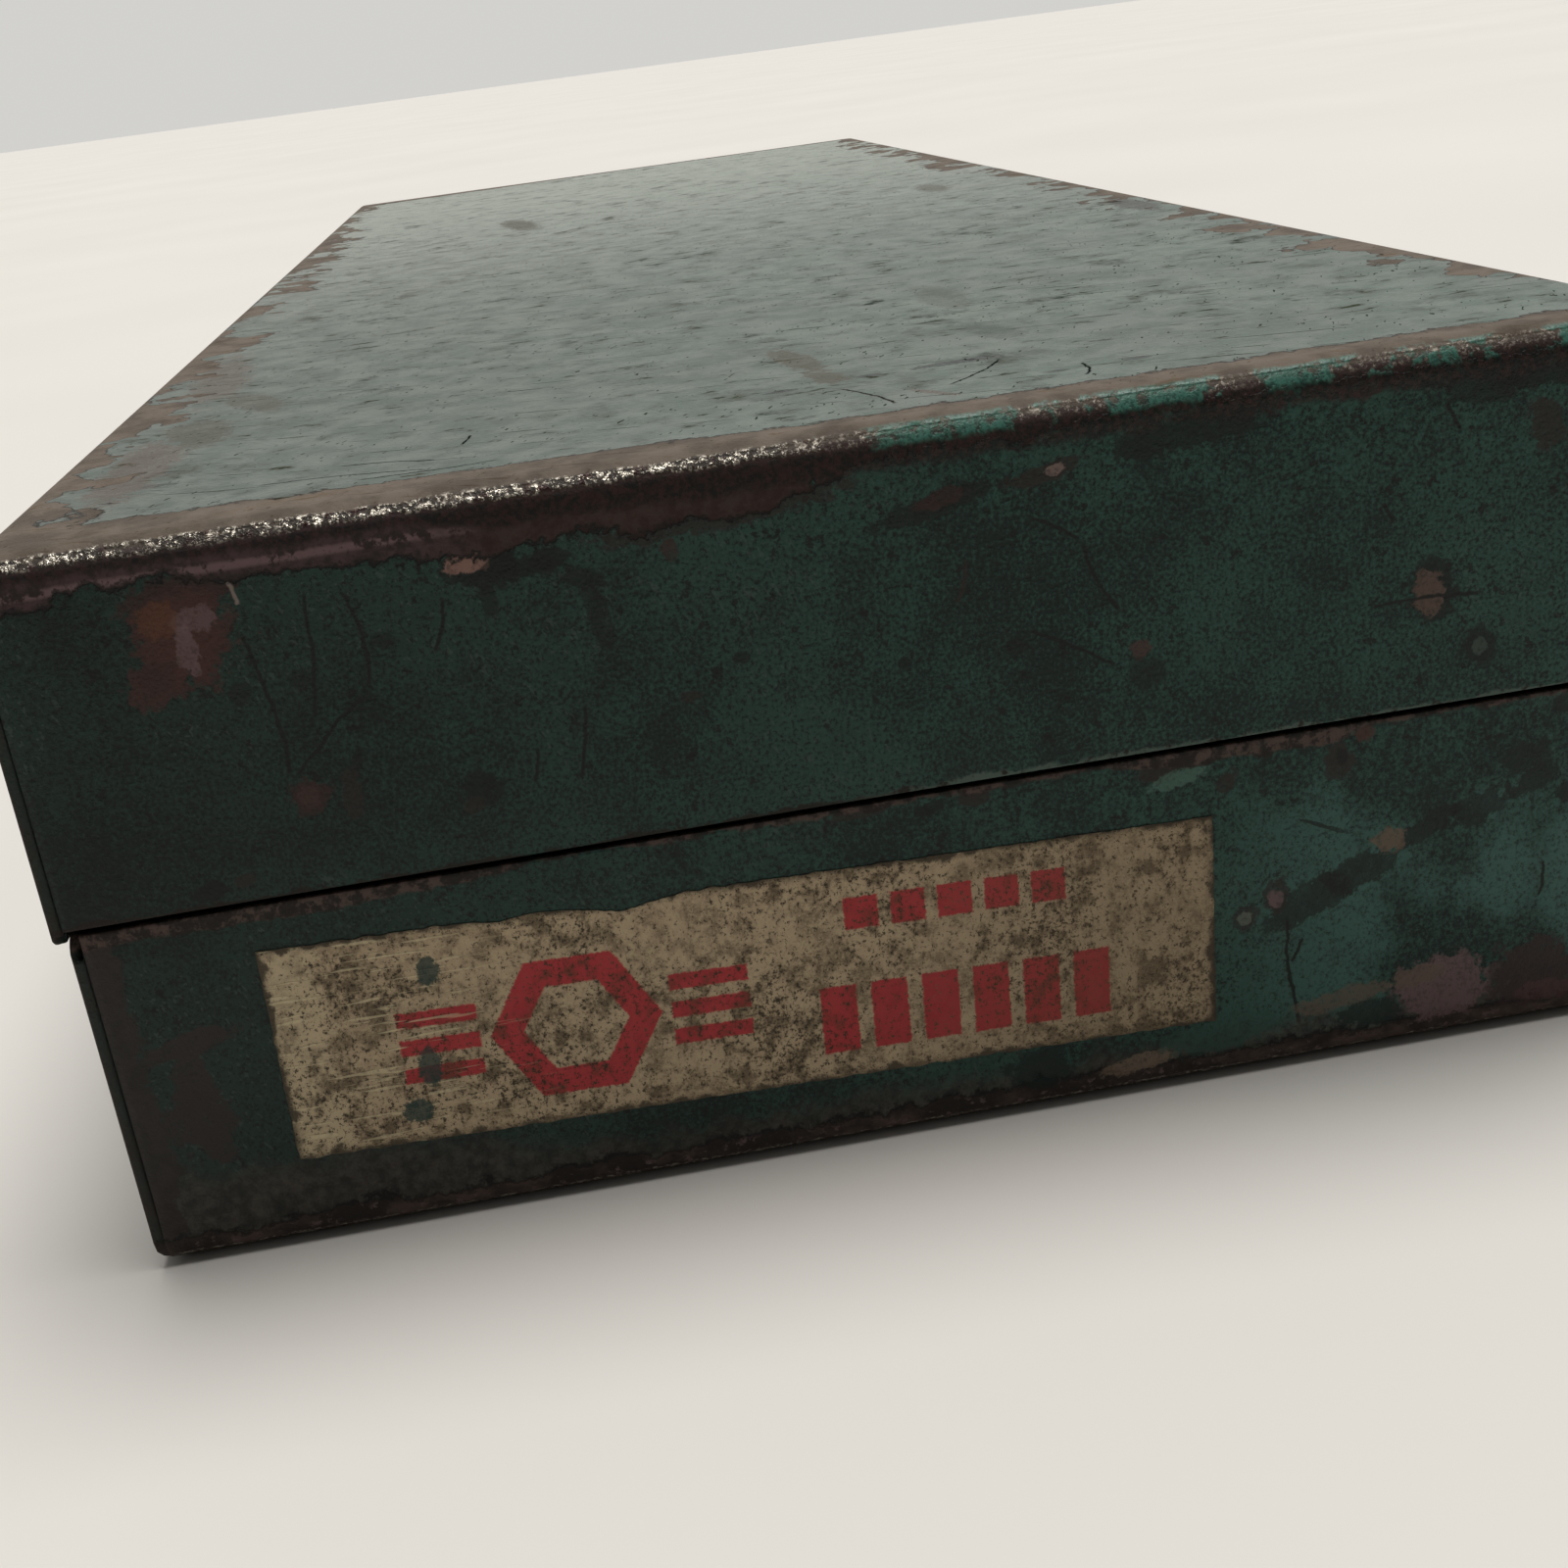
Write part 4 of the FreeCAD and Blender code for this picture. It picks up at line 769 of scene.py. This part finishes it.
# Marks on the lid's top: centre (x, y), half size, turn, colour, strength.
TOP_MARKS = [
    ((-58.3, -25.4), (16.0, 3.4), 8, OLIVE, 1.0),
    ((167.0, 0.7), (8.6, 1.9), 8, OLIVE, 1.0),
    ((179.5, 2.0), (4.4, 1.7), 12, OLIVE, 1.0),
    ((181.5, 13.8), (1.1, 4.6), 0, SOOT, 0.8),
    ((183.0, -2.9), (0.9, 1.9), 0, GRIME, 0.8),
    ((181.6, 5.5), (0.9, 1.6), 0, GRIME, 0.8),
    ((193.3, 26.5), (0.8, 1.5), 0, GRIME, 0.8),
    ((193.6, 19.7), (0.7, 1.1), 0, GRIME, 0.8),
    ((184.4, -59.0), (0.8, 3.0), 0, GRIME, 0.8),
    ((195.0, 8.6), (3.2, 0.5), 24, TAN, 0.9),
    ((-8.0, 50.3), (10.0, 2.6), 0, OLIVE, 0.7),
    ((72.0, 64.0), (12.0, 2.2), 0, BROWN_GRIME, 0.8),
    ((166.0, 20.2), (7.0, 2.2), 10, GRIME, 0.35),
    ((137.0, 21.5), (10.0, 2.6), 0, OLIVE, 0.4),
    ((175.0, -61.0), (16.0, 3.2), 0, TAN, 0.9),
    ((158.0, -58.0), (9.0, 3.6), 10, OLIVE, 0.8),
    ((142.0, -54.5), (9.0, 2.6), 24, OLIVE, 0.7),
    ((120.0, -61.0), (20.0, 3.4), 4, TAN, 0.8),
]


# ---- folded shells

EDGE_ROUND = 0.2 * MM
SLIT = 0.16 * MM
SLIT_DEPTH = 0.6 * MM
RAW_ROUND = 0.28 * MM
BASE_CORNER = 2.2 * MM
LID_CORNER = 0.9 * MM
BASE_END_PRESS = 0.06 * MM
LID_TOP_PRESS = 0.55 * MM
LID_END_PRESS = 0.25 * MM
TAB_LENGTH = 9.0 * MM
TAB_GAP = 2.0 * MM


def spread(low, high, step):
    """Even places from low to high, about a step apart."""
    return np.linspace(low, high, max(2, round((high - low) / step) + 1))


def with_ends(low, high, near_end, step):
    """Places along a wall: close ones near both ends, at the given distances, and even ones between."""
    inner = spread(low + near_end[-1], high - near_end[-1], step)[1:-1]
    return np.concatenate([low + np.array(near_end), inner, high - np.array(near_end[::-1])])


class Shell:
    """A folded sheet-metal pan, open at the rim, with square corners where raw edges meet."""

    def __init__(
        self, low, high, floor, up, rim_height, sheet, bend, rim_path, lap=0.0, corner=0.0, slits=True
    ):
        self.x_half = high.x
        self.y_low, self.y_high = low.y, high.y
        self.floor, self.up = floor, up
        self.sheet, self.bend = sheet, bend
        self.rim_path = rim_path
        self.slit_depth = SLIT_DEPTH if slits else 0.0
        self.make_columns()
        end_gap = self.x_half - np.abs(self.x)
        dip = corner - np.sqrt(np.maximum(corner**2 - np.maximum(corner - end_gap, 0) ** 2, 0))
        self.rim = rim_height - np.where(self.on_long_wall, dip, 0.0)
        self.rim = self.rim + np.where(self.on_long_wall & (self.y < 0), lap, 0.0)

    def make_columns(self):
        """The outer wall's places once round the box, and which wall each is on."""
        near_corner = [EDGE_ROUND, 0.5 * self.sheet]
        near_slit = [self.sheet - SLIT / 2, self.sheet, self.sheet + SLIT / 2, 1.8 * self.sheet]
        ys = with_ends(self.y_low, self.y_high, near_corner + near_slit, 3.2 * MM)
        near = [EDGE_ROUND, 0.5 * MM, 1.0 * MM, 1.6 * MM, 2.3 * MM, 3.2 * MM]
        xs = with_ends(-self.x_half, self.x_half, near, 3.4 * MM)
        pull = EDGE_ROUND * (1 - math.sqrt(0.5))
        corner_x, corner_low, corner_high = self.x_half - pull, self.y_low + pull, self.y_high - pull
        places = [(self.x_half, y) for y in ys] + [(corner_x, corner_high)]
        places += [(x, self.y_high) for x in xs[::-1]] + [(-corner_x, corner_high)]
        places += [(-self.x_half, y) for y in ys[::-1]] + [(-corner_x, corner_low)]
        places += [(x, self.y_low) for x in xs] + [(corner_x, corner_low)]
        self.x, self.y = np.array(places).T
        wall_gap = np.minimum(self.y - self.y_low, self.y_high - self.y)
        on_end = np.abs(np.abs(self.x) - self.x_half) < 1e-9
        self.on_long_wall = ~on_end | (wall_gap < self.sheet)
        self.in_slit = on_end & (np.abs(wall_gap - self.sheet) < 1e-9)
        self.xs, self.ys = xs, ys

    def inset(self, distance, x=None, y=None):
        """The columns' places, moved no nearer than a distance to each outer wall."""
        x = self.x if x is None else x
        y = self.y if y is None else y
        reach = self.x_half - distance
        return np.clip(x, -reach, reach), np.clip(y, self.y_low + distance, self.y_high - distance)

    def rings(self):
        """Closed rings of points, from the outer floor's edge over the rim to the inner floor's edge."""
        found = []

        def add(x, y, height):
            z = self.floor + self.up * (height + np.zeros_like(self.x))
            found.append(np.stack([x, y, z], axis=1))

        turns = [math.radians(a) for a in (0, 18, 36, 54, 72, 90)]
        for turn in turns:
            add(*self.inset(self.bend * (1 - math.sin(turn))), self.bend * (1 - math.cos(turn)))
        inner_x, inner_y = self.inset(self.sheet)
        first_drop = self.rim_path[0][1]
        last_drop = self.rim_path[-1][1]
        slit = np.sign(self.x) * self.slit_depth * self.in_slit
        for share in np.linspace(0, 1, 9)[1:]:
            height = self.bend + (self.rim - first_drop - self.bend) * share
            add(self.x - slit * min(1.0, 8 * share), self.y, height)
        for inset, drop in self.rim_path:
            share = inset / self.sheet
            x = self.x + (inner_x - self.x) * share - slit * max(0.0, 1 - 2 * share)
            y = self.y + (inner_y - self.y) * share
            add(x, y, self.rim - drop)
        inner_bend = self.bend - self.sheet
        low = self.sheet + inner_bend
        for share in np.linspace(0, 1, 7)[1:]:
            add(inner_x, inner_y, self.rim - last_drop + (low - self.rim + last_drop) * share)
        for turn in turns[-2::-1]:
            distance = inner_bend * (1 - math.sin(turn)) + self.sheet
            add(*self.inset(distance, inner_x, inner_y), self.sheet + inner_bend * (1 - math.cos(turn)))
        return found

    def grid(self, distance, height):
        """The points and faces of a floor whose edge meets a ring."""
        xs, _ = self.inset(distance, np.concatenate([[-self.x_half], self.xs, [self.x_half]]), 0.0)
        _, ys = self.inset(distance, 0.0, np.concatenate([[self.y_low], self.ys, [self.y_high]]))
        xs, ys = np.unique(np.round(xs, 8)), np.unique(np.round(ys, 8))
        points = [(x, y, self.floor + self.up * height) for x in xs for y in ys]
        wide = len(ys)
        faces = [
            (i * wide + j, (i + 1) * wide + j, (i + 1) * wide + j + 1, i * wide + j + 1)
            for i in range(len(xs) - 1)
            for j in range(wide - 1)
        ]
        return points, faces

    def build(self, name, bend_point=None):
        """The finished mesh object.  bend_point moves each point a little, for dents."""
        bm = bmesh.new()
        rings = [[bm.verts.new(point) for point in ring] for ring in self.rings()]
        count = len(self.x)
        for lower, upper in zip(rings, rings[1:]):
            for k in range(count):
                bm.faces.new((lower[k], lower[(k + 1) % count], upper[(k + 1) % count], upper[k]))
        for distance, height in ((self.bend, 0.0), (self.bend, self.sheet)):
            points, faces = self.grid(distance, height)
            made = [bm.verts.new(point) for point in points]
            for face in faces:
                bm.faces.new([made[k] for k in face])
        bmesh.ops.remove_doubles(bm, verts=bm.verts, dist=2e-6)
        bmesh.ops.dissolve_degenerate(bm, edges=bm.edges, dist=1e-6)
        bmesh.ops.recalc_face_normals(bm, faces=bm.faces)
        if bend_point:
            for vert in bm.verts:
                vert.co = bend_point(vert.co)
        return object_of(bm, name)


def object_of(bm, name):
    """A smooth-shaded object of the bmesh, its flat faces kept flat by weighted normals."""
    mesh = bpy.data.meshes.new(name)
    bm.to_mesh(mesh)
    bm.free()
    mesh.shade_smooth()
    piece = bpy.data.objects.new(name, mesh)
    bpy.context.scene.collection.objects.link(piece)
    weigh = piece.modifiers.new("weigh", "WEIGHTED_NORMAL")
    weigh.mode = "FACE_AREA"
    weigh.weight = 100
    apply_modifiers(piece)
    return piece


def apply_modifiers(piece):
    """Bakes the piece's modifiers into its mesh."""
    bpy.context.view_layer.update()
    shape = bpy.data.meshes.new_from_object(piece.evaluated_get(bpy.context.evaluated_depsgraph_get()))
    shape.name = piece.name
    piece.modifiers.clear()
    piece.data = shape


def ease(value):
    """A smooth step from 0 to 1."""
    value = min(1.0, max(0.0, value))
    return value * value * (3 - 2 * value)


def dent_shell(top_z, up, flat_depth, end_depth):
    """Presses points of a shell's flat faces inward a little, as handled sheet is, never near its folds."""
    def move(point):
        end_gap = HALF_LENGTH * MM - abs(point.x)
        side_gap = HALF_WIDTH * MM - abs(point.y)
        flat_gap = abs(point.z - top_z)
        moved = point.copy()
        wave = noise.noise(point * 22.0) * 0.5 + noise.noise(point * 60.0) * 0.18
        press = 0.5 - 0.7 * wave
        if flat_gap < 1.2 * MM:
            calm = ease((min(end_gap, side_gap) - 3 * MM) / (18 * MM))
            moved.z -= up * calm * press * flat_depth
        elif end_gap < 1.2 * MM:
            calm = ease((min(flat_gap, side_gap) - 3 * MM) / (10 * MM))
            moved.x -= math.copysign(calm * press * end_depth, point.x)
        return moved
    return move


def raw_rim(sheet, rounding):
    """The rounded raw edge of a sheet, as (inset from the outer face, drop below the rim)."""
    near = rounding * (1 - math.sqrt(0.5))
    half = [(0.0, rounding), (near, near), (rounding, 0.0)]
    return half + [(sheet - inset, drop) for inset, drop in half[::-1]]


def hem_rim(sheet, depth):
    """A hem folded inward: twice the sheet's thickness at the rim, then back to the wall."""
    near = 0.3 * sheet
    outer = [(0.0, sheet), (near, near), (sheet, 0.0)]
    inner = [(2 * sheet - near, near), (2 * sheet, sheet), (2 * sheet, depth - near), (1.8 * sheet, depth)]
    return outer + inner + [(sheet * 1.02, depth + 0.02 * sheet), (sheet, depth + near)]


def add_tabs(piece, low, high, z_low, z_high):
    """The end walls' folded tabs inside each corner, as part of the shell's object."""
    bm = bmesh.new()
    bm.from_mesh(piece.data)
    for x_sign in (-1, 1):
        for y_face, y_sign in ((low.y + SHEET, 1), (high.y - SHEET, -1)):
            box = bmesh.ops.create_cube(bm, size=1.0)["verts"]
            x = x_sign * (high.x - SHEET - TAB_LENGTH / 2)
            middle = Vector((x, y_face + y_sign * SHEET / 2, (z_low + z_high) / 2))
            for vert in box:
                vert.co = middle + vert.co * Vector((TAB_LENGTH, SHEET, z_high - z_low))
            edges = {edge for vert in box for edge in vert.link_edges}
            bmesh.ops.bevel(bm, geom=list(edges), offset=0.2 * MM, segments=2, affect="EDGES")
    bm.to_mesh(piece.data)
    bm.free()


def build_shells():
    rim = raw_rim(SHEET, RAW_ROUND)
    base = Shell(BASE_LOW, BASE_HIGH, 0.0, 1, BASE_HIGH.z, SHEET, BEND, rim, corner=BASE_CORNER)
    base_piece = base.build("base_pan", dent_shell(0.0, 0, 0.0, BASE_END_PRESS))
    add_tabs(base_piece, BASE_LOW, BASE_HIGH, BEND, BASE_HIGH.z - TAB_GAP)
    base_piece.data.materials.append(base_paint())
    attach(base_piece, "case")
    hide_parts("base_shell")

    depth = LID_HIGH.z - LID_LOW.z - LID_LAP
    lid = Shell(LID_LOW, LID_HIGH, LID_HIGH.z, -1, depth, SHEET, BEND, rim, lap=LID_LAP, corner=LID_CORNER)
    lid_piece = lid.build("lid_pan", dent_shell(LID_HIGH.z, 1, LID_TOP_PRESS, LID_END_PRESS))
    add_tabs(lid_piece, LID_LOW, LID_HIGH, LID_LOW.z + LID_LAP + TAB_GAP, LID_HIGH.z - BEND)
    lid_piece.data.materials.append(lid_paint())
    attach(lid_piece, "lid")
    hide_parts("lid_shell")

    tray = Shell(
        TRAY_LOW, TRAY_HIGH, TRAY_LOW.z, 1, TRAY_HIGH.z - TRAY_LOW.z, TRAY_SHEET, TRAY_BEND,
        hem_rim(TRAY_SHEET, TRAY_HEM), slits=False,
    )
    tray_piece = tray.build("tray_tub")
    tray_look = tray_paint()
    tray_piece.data.materials.append(tray_look)
    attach(tray_piece, "tray")
    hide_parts("tray_pan")
    return tray_look


# ---- hardware


def rub_marks(look, place, scale):
    """Fine rubbing in two directions."""
    found = []
    for turn, level in ((25, 0.64), (-50, 0.65)):
        turned = look.tree.nodes.new("ShaderNodeVectorRotate")
        turned.rotation_type = "EULER_XYZ"
        look.feed(turned.inputs["Vector"], place)
        turned.inputs["Rotation"].default_value = (0.6, 0.3, math.radians(turn))
        stretched = look.vector("MULTIPLY", turned.outputs[0], (5.0 * scale, 0.12 * scale, 5.0 * scale))
        found.append(look.step(look.noise(stretched, 1.0, detail=1.0), level, level + 0.03))
    return look.either(*found)


def aged_steel(name, bright, dull, rust_level, scale=1.0):
    """Tarnished plating with rust in spots and fine rubbing marks."""
    look = Look(name)
    place = look.place_mm()
    cloud = look.noise(place, 0.35 * scale, detail=4.0, rough=0.65)
    fine = look.noise(place, 2.2 * scale, detail=3.0, rough=0.6)
    colour = look.mix(look.step(cloud, 0.35, 0.65), dull, bright)
    rust = look.step(look.noise(place, 0.8 * scale, detail=5.0, rough=0.72), rust_level, rust_level + 0.07)
    colour = look.mix(look.times(rust, 0.9), colour, look.mix(look.step(fine, 0.4, 0.6), RUST_DARK, RUST))
    rubbed = rub_marks(look, place, scale)
    colour = look.mix(look.times(rubbed, 0.4), colour, srgb(190, 184, 174))
    metallic = look.minus(0.92, look.times(rust, 0.8))
    roughness = look.plus(look.times(cloud, 0.35), 0.2)
    roughness = look.blend(rust, roughness, 0.82)
    relief = look.plus(look.times(fine, 0.4), look.times(rust, 0.6))
    look.finish(colour, roughness, metallic, relief, bump_mm=0.06)
    return look.material


def worn_hinge_paint():
    """Green enamel on the hinge leaves, rubbed to steel on the knuckles and at the leaves' edges."""
    look = Look("hinge_paint")
    place = look.place_mm()
    _, y, z = look.split(place)
    axis_y = frame_axis("lid_hinge").y / MM
    axis_z = frame_axis("lid_hinge").z / MM
    off_y = look.minus(y, axis_y)
    off_z = look.minus(z, axis_z)
    reach = look.math("SQRT", look.plus(look.math("POWER", off_y, 2.0), look.math("POWER", off_z, 2.0)))
    patchy = look.noise(place, 0.4, detail=4.0, rough=0.65)
    fine = look.noise(place, 1.6, detail=3.0)
    sway = look.times(look.minus(patchy, 0.5), 3.0)
    knuckle = look.step(look.plus(reach, sway), 3.0, 2.1)
    leaf_edge = look.step(look.plus(look.absolute(off_z), sway), 9.2, 9.9)
    bare = look.either(knuckle, leaf_edge)
    colour = look.mix(look.step(fine, 0.35, 0.65), TEAL_DARK, TEAL_LIGHT)
    metal = look.mix(look.step(patchy, 0.4, 0.62), STEEL, RUST_DARK)
    colour = look.mix(bare, colour, metal)
    relief = look.plus(look.times(fine, 0.5), look.times(bare, -0.4))
    metallic = look.times(bare, 0.75)
    roughness = look.blend(bare, 0.45, 0.42)
    look.finish(colour, roughness, metallic, relief, bump_mm=0.08)
    return look.material


def frame_axis(joint_name):
    """A point on a joint's axis, in metres."""
    joint = next(j for j in frame["joints"] if j["name"] == joint_name)
    return Vector(joint["pos_m"])


def coat(names, material):
    """Gives CAD nodes a material in each of their slots."""
    for name in names:
        mesh = nodes[name].data
        if not mesh.materials:
            mesh.materials.append(material)
        for slot in range(len(mesh.materials)):
            mesh.materials[slot] = material


def coat_hardware(tray_look):
    coat(["hinge_leaf_base", "hinge_leaf_lid"], worn_hinge_paint())
    plated = aged_steel("hasp_steel", srgb(168, 162, 150), srgb(112, 106, 98), 0.58)
    hasps = [n for n in nodes if n.startswith(("hasp_bracket", "hasp_plate", "hasp_catch"))]
    coat(hasps, plated)
    coat([n for n in nodes if n.startswith("handle_") and n != "handle_rivets"],
         aged_steel("handle_steel", srgb(160, 154, 144), srgb(100, 96, 90), 0.6))
    coat([n for n in nodes if n.endswith("rivets") or "_rivets_" in n],
         aged_steel("rivet_steel", srgb(150, 143, 132), srgb(88, 80, 72), 0.55, scale=1.4))
    coat([n for n in nodes if n.startswith("hasp_pin") or n == "hinge_pin"],
         aged_steel("pin_steel", srgb(130, 124, 116), srgb(78, 72, 66), 0.57, scale=1.4))
    coat([n for n in nodes if n.startswith(("tray_divider", "tray_finger", "tray_ledge"))], tray_look)


# ---- label

LABEL_LONG = 81.4
LABEL_TALL = 20.0
LABEL_TURN = math.radians(-1.6)
LABEL_MIDDLE = (LABEL_LOW + LABEL_HIGH) / 2
LABEL_DIP = 0.04 * MM
RUBBED_SPOTS = [((-27.2, 6.0), (1.0, 1.4)), ((-28.4, -2.9), (1.0, 2.0)), ((-30.0, -6.9), (1.3, 1.2))]


def label_outline_sag(along):
    """How far the label's torn top edge drops below its full height, at a place along it, in mm."""
    tear = 0.9 * math.exp(-(((along + 10.5) / 3.6) ** 2)) + 0.35 * math.exp(-(((along + 21.0) / 2.0) ** 2))
    return tear + 0.22 * (noise.noise(Vector((along * 0.9, 3.0, 0.0))) + 0.5)


def label_points(bm, columns, rows):
    """The label's front and back points, column by column, ragged at the rim."""
    front, back = [], []
    for i in range(columns + 1):
        along = -LABEL_LONG / 2 + LABEL_LONG * i / columns
        top = LABEL_TALL / 2 - label_outline_sag(along)
        foot = -LABEL_TALL / 2 + 0.2 * (noise.noise(Vector((along * 0.7, 9.0, 0.0))) + 0.5)
        front.append([])
        back.append([])
        for j in range(rows + 1):
            up = foot + (top - foot) * j / rows
            wander = 0.14 * noise.noise(Vector((5.0, up * 0.9, float(i > columns / 2))))
            shift = wander if i in (0, columns) else 0.0
            y = (along + shift) * math.cos(LABEL_TURN) - up * math.sin(LABEL_TURN)
            z = (along + shift) * math.sin(LABEL_TURN) + up * math.cos(LABEL_TURN)
            at = Vector((0, LABEL_MIDDLE.y + y * MM, LABEL_MIDDLE.z + z * MM))
            wave = 0.03 * MM * noise.noise(Vector((along * 0.25, up * 0.25, 1.0)))
            front[-1].append(bm.verts.new(at + Vector((LABEL_HIGH.x - LABEL_DIP + wave, 0, 0))))
            back[-1].append(bm.verts.new(at + Vector((LABEL_LOW.x, 0, 0))))
    return front, back


def build_label():
    """A thin, slightly wavy paper label, as a closed sheet."""
    columns, rows = 150, 34
    bm = bmesh.new()
    front, back = label_points(bm, columns, rows)
    for i in range(columns):
        for j in range(rows):
            bm.faces.new((front[i][j], front[i + 1][j], front[i + 1][j + 1], front[i][j + 1]))
            bm.faces.new((back[i][j], back[i][j + 1], back[i + 1][j + 1], back[i + 1][j]))
    rim = [(i, 0) for i in range(columns)] + [(columns, j) for j in range(rows)]
    rim += [(i, rows) for i in range(columns, 0, -1)] + [(0, j) for j in range(rows, 0, -1)]
    for (i, j), (p, q) in zip(rim, rim[1:] + rim[:1]):
        bm.faces.new((front[i][j], back[i][j], back[p][q], front[p][q]))
    bmesh.ops.recalc_face_normals(bm, faces=bm.faces)
    piece = object_of(bm, "paper_label")
    piece.data.materials.append(dirty_paper())
    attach(piece, "case")
    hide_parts("label")


def dirty_paper():
    """Old cream paper with dense dark specks, torn pale fibres, rubbed spots and plain red shapes."""
    look = Look("label_paper")
    place = look.place_mm()
    _, y, z = look.split(place)
    middle = (LABEL_MIDDLE.y / MM, LABEL_MIDDLE.z / MM)
    u, v = look.turned(y, z, middle, math.cos(LABEL_TURN), math.sin(LABEL_TURN))

    broad = look.noise(place, 0.12, detail=3.0, rough=0.6)
    patchy = look.noise(place, 0.5, detail=5.0, rough=0.72)
    fine = look.noise(place, 2.4, detail=3.0, rough=0.75)
    speck = look.noise(place, 2.0, detail=3.0, rough=0.9)
    colour = look.mix(look.step(patchy, 0.38, 0.6), srgb(176, 156, 128), srgb(134, 116, 94))
    colour = look.mix(look.step(fine, 0.42, 0.66, 0.0, 0.65), colour, srgb(184, 168, 134))
    torn = look.step(look.plus(u, look.times(patchy, 14.0)), -27.0, -31.0)
    colour = look.mix(look.times(torn, 0.5), colour, srgb(196, 180, 148))
    ragged = look.times(look.minus(fine, 0.5), 0.45)
    red = look.both(print_mask(look, u, v, ragged), look.step(speck, 0.68, 0.56))
    colour = look.mix(look.times(red, 0.93), colour, srgb(166, 38, 50))
    grime = look.both(look.step(patchy, 0.46, 0.6), look.step(broad, 0.36, 0.55))
    colour = look.mix(look.times(grime, 0.62), colour, srgb(74, 63, 46))
    level = look.minus(0.64, look.times(broad, 0.17))
    specks = look.step(speck, level, look.plus(level, 0.05))
    colour = look.mix(look.times(specks, 0.85), colour, srgb(44, 38, 28))
    colour = look.mix(look.step(u, 4.0, 34.0, 0.0, 0.3), colour, srgb(84, 70, 52))
    fibres = look.noise(look.vector("MULTIPLY", place, (0.8, 0.16, 2.6)), 1.0, detail=2.0)
    fibres = look.both(look.step(fibres, 0.6, 0.65), look.step(u, -16.0, -30.0))
    colour = look.mix(look.times(fibres, 0.5), colour, srgb(214, 200, 164))
    for centre, half_size in RUBBED_SPOTS:
        rubbed = look.spot(u, v, look.times(ragged, 2.6), centre, half_size)
        colour = look.mix(look.times(rubbed, 0.85), colour, srgb(40, 62, 58))
    colour = look.mix(paper_edge(look, u, v, patchy), colour, srgb(44, 38, 30))
    relief = look.plus(look.times(fine, 0.4), look.times(patchy, 0.9))
    relief = look.plus(relief, look.times(torn, -0.7))
    relief = look.plus(relief, look.times(fibres, 0.8))
    look.finish(colour, 0.72, 0.0, relief, bump_mm=0.08, specular=0.25)
    return look.material


def paper_edge(look, u, v, patchy):
    """Where the label's rim has gone dark."""
    edge_u = look.minus(LABEL_LONG / 2, look.absolute(u))
    edge_v = look.minus(LABEL_TALL / 2, look.absolute(v))
    edge = look.math("MINIMUM", edge_u, edge_v)
    edge = look.plus(edge, look.times(look.minus(patchy, 0.5), 4.6))
    return look.step(edge, 0.6, 0.0, 0.0, 0.88)


def print_mask(look, u, v, ragged):
    """Generic printed shapes: a hexagonal nut between two groups of bars, and two rows of blocks."""
    def bar(centre, half):
        du = look.minus(look.absolute(look.minus(u, centre[0])), half[0])
        dv = look.minus(look.absolute(look.minus(v, centre[1])), half[1])
        return look.step(look.plus(look.math("MAXIMUM", du, dv), ragged), 0.1, -0.1)

    def hexagon(centre, radius):
        du = look.absolute(look.minus(u, centre[0]))
        dv = look.absolute(look.minus(v, centre[1]))
        slanted = look.plus(look.times(du, 0.866), look.times(dv, 0.5))
        reach = look.minus(look.math("MAXIMUM", slanted, dv), radius)
        return look.step(look.plus(reach, ragged), 0.1, -0.1)

    nut = (-15.6, -0.9)
    ring = look.both(hexagon(nut, 6.4), look.away(hexagon(nut, 3.9)))
    shapes = [ring]
    for side in (-1, 1):
        shapes += [bar((nut[0] + 11.6 * side, nut[1] + rise), (3.4, 0.75)) for rise in (-2.6, 0.0, 2.6)]
    shapes += [bar((9.6 + 4.1 * k, 5.7), (1.5, 1.5)) for k in range(5)]
    shapes += [bar((7.0 + 4.5 * k, -4.2), (1.6, 3.2)) for k in range(6)]
    return look.either(*shapes)


# ---- the whole

add_camera()
add_light()
add_floor()
tray_material = build_shells()
coat_hardware(tray_material)
build_label()

bpy.context.scene.view_settings.view_transform = "Standard"
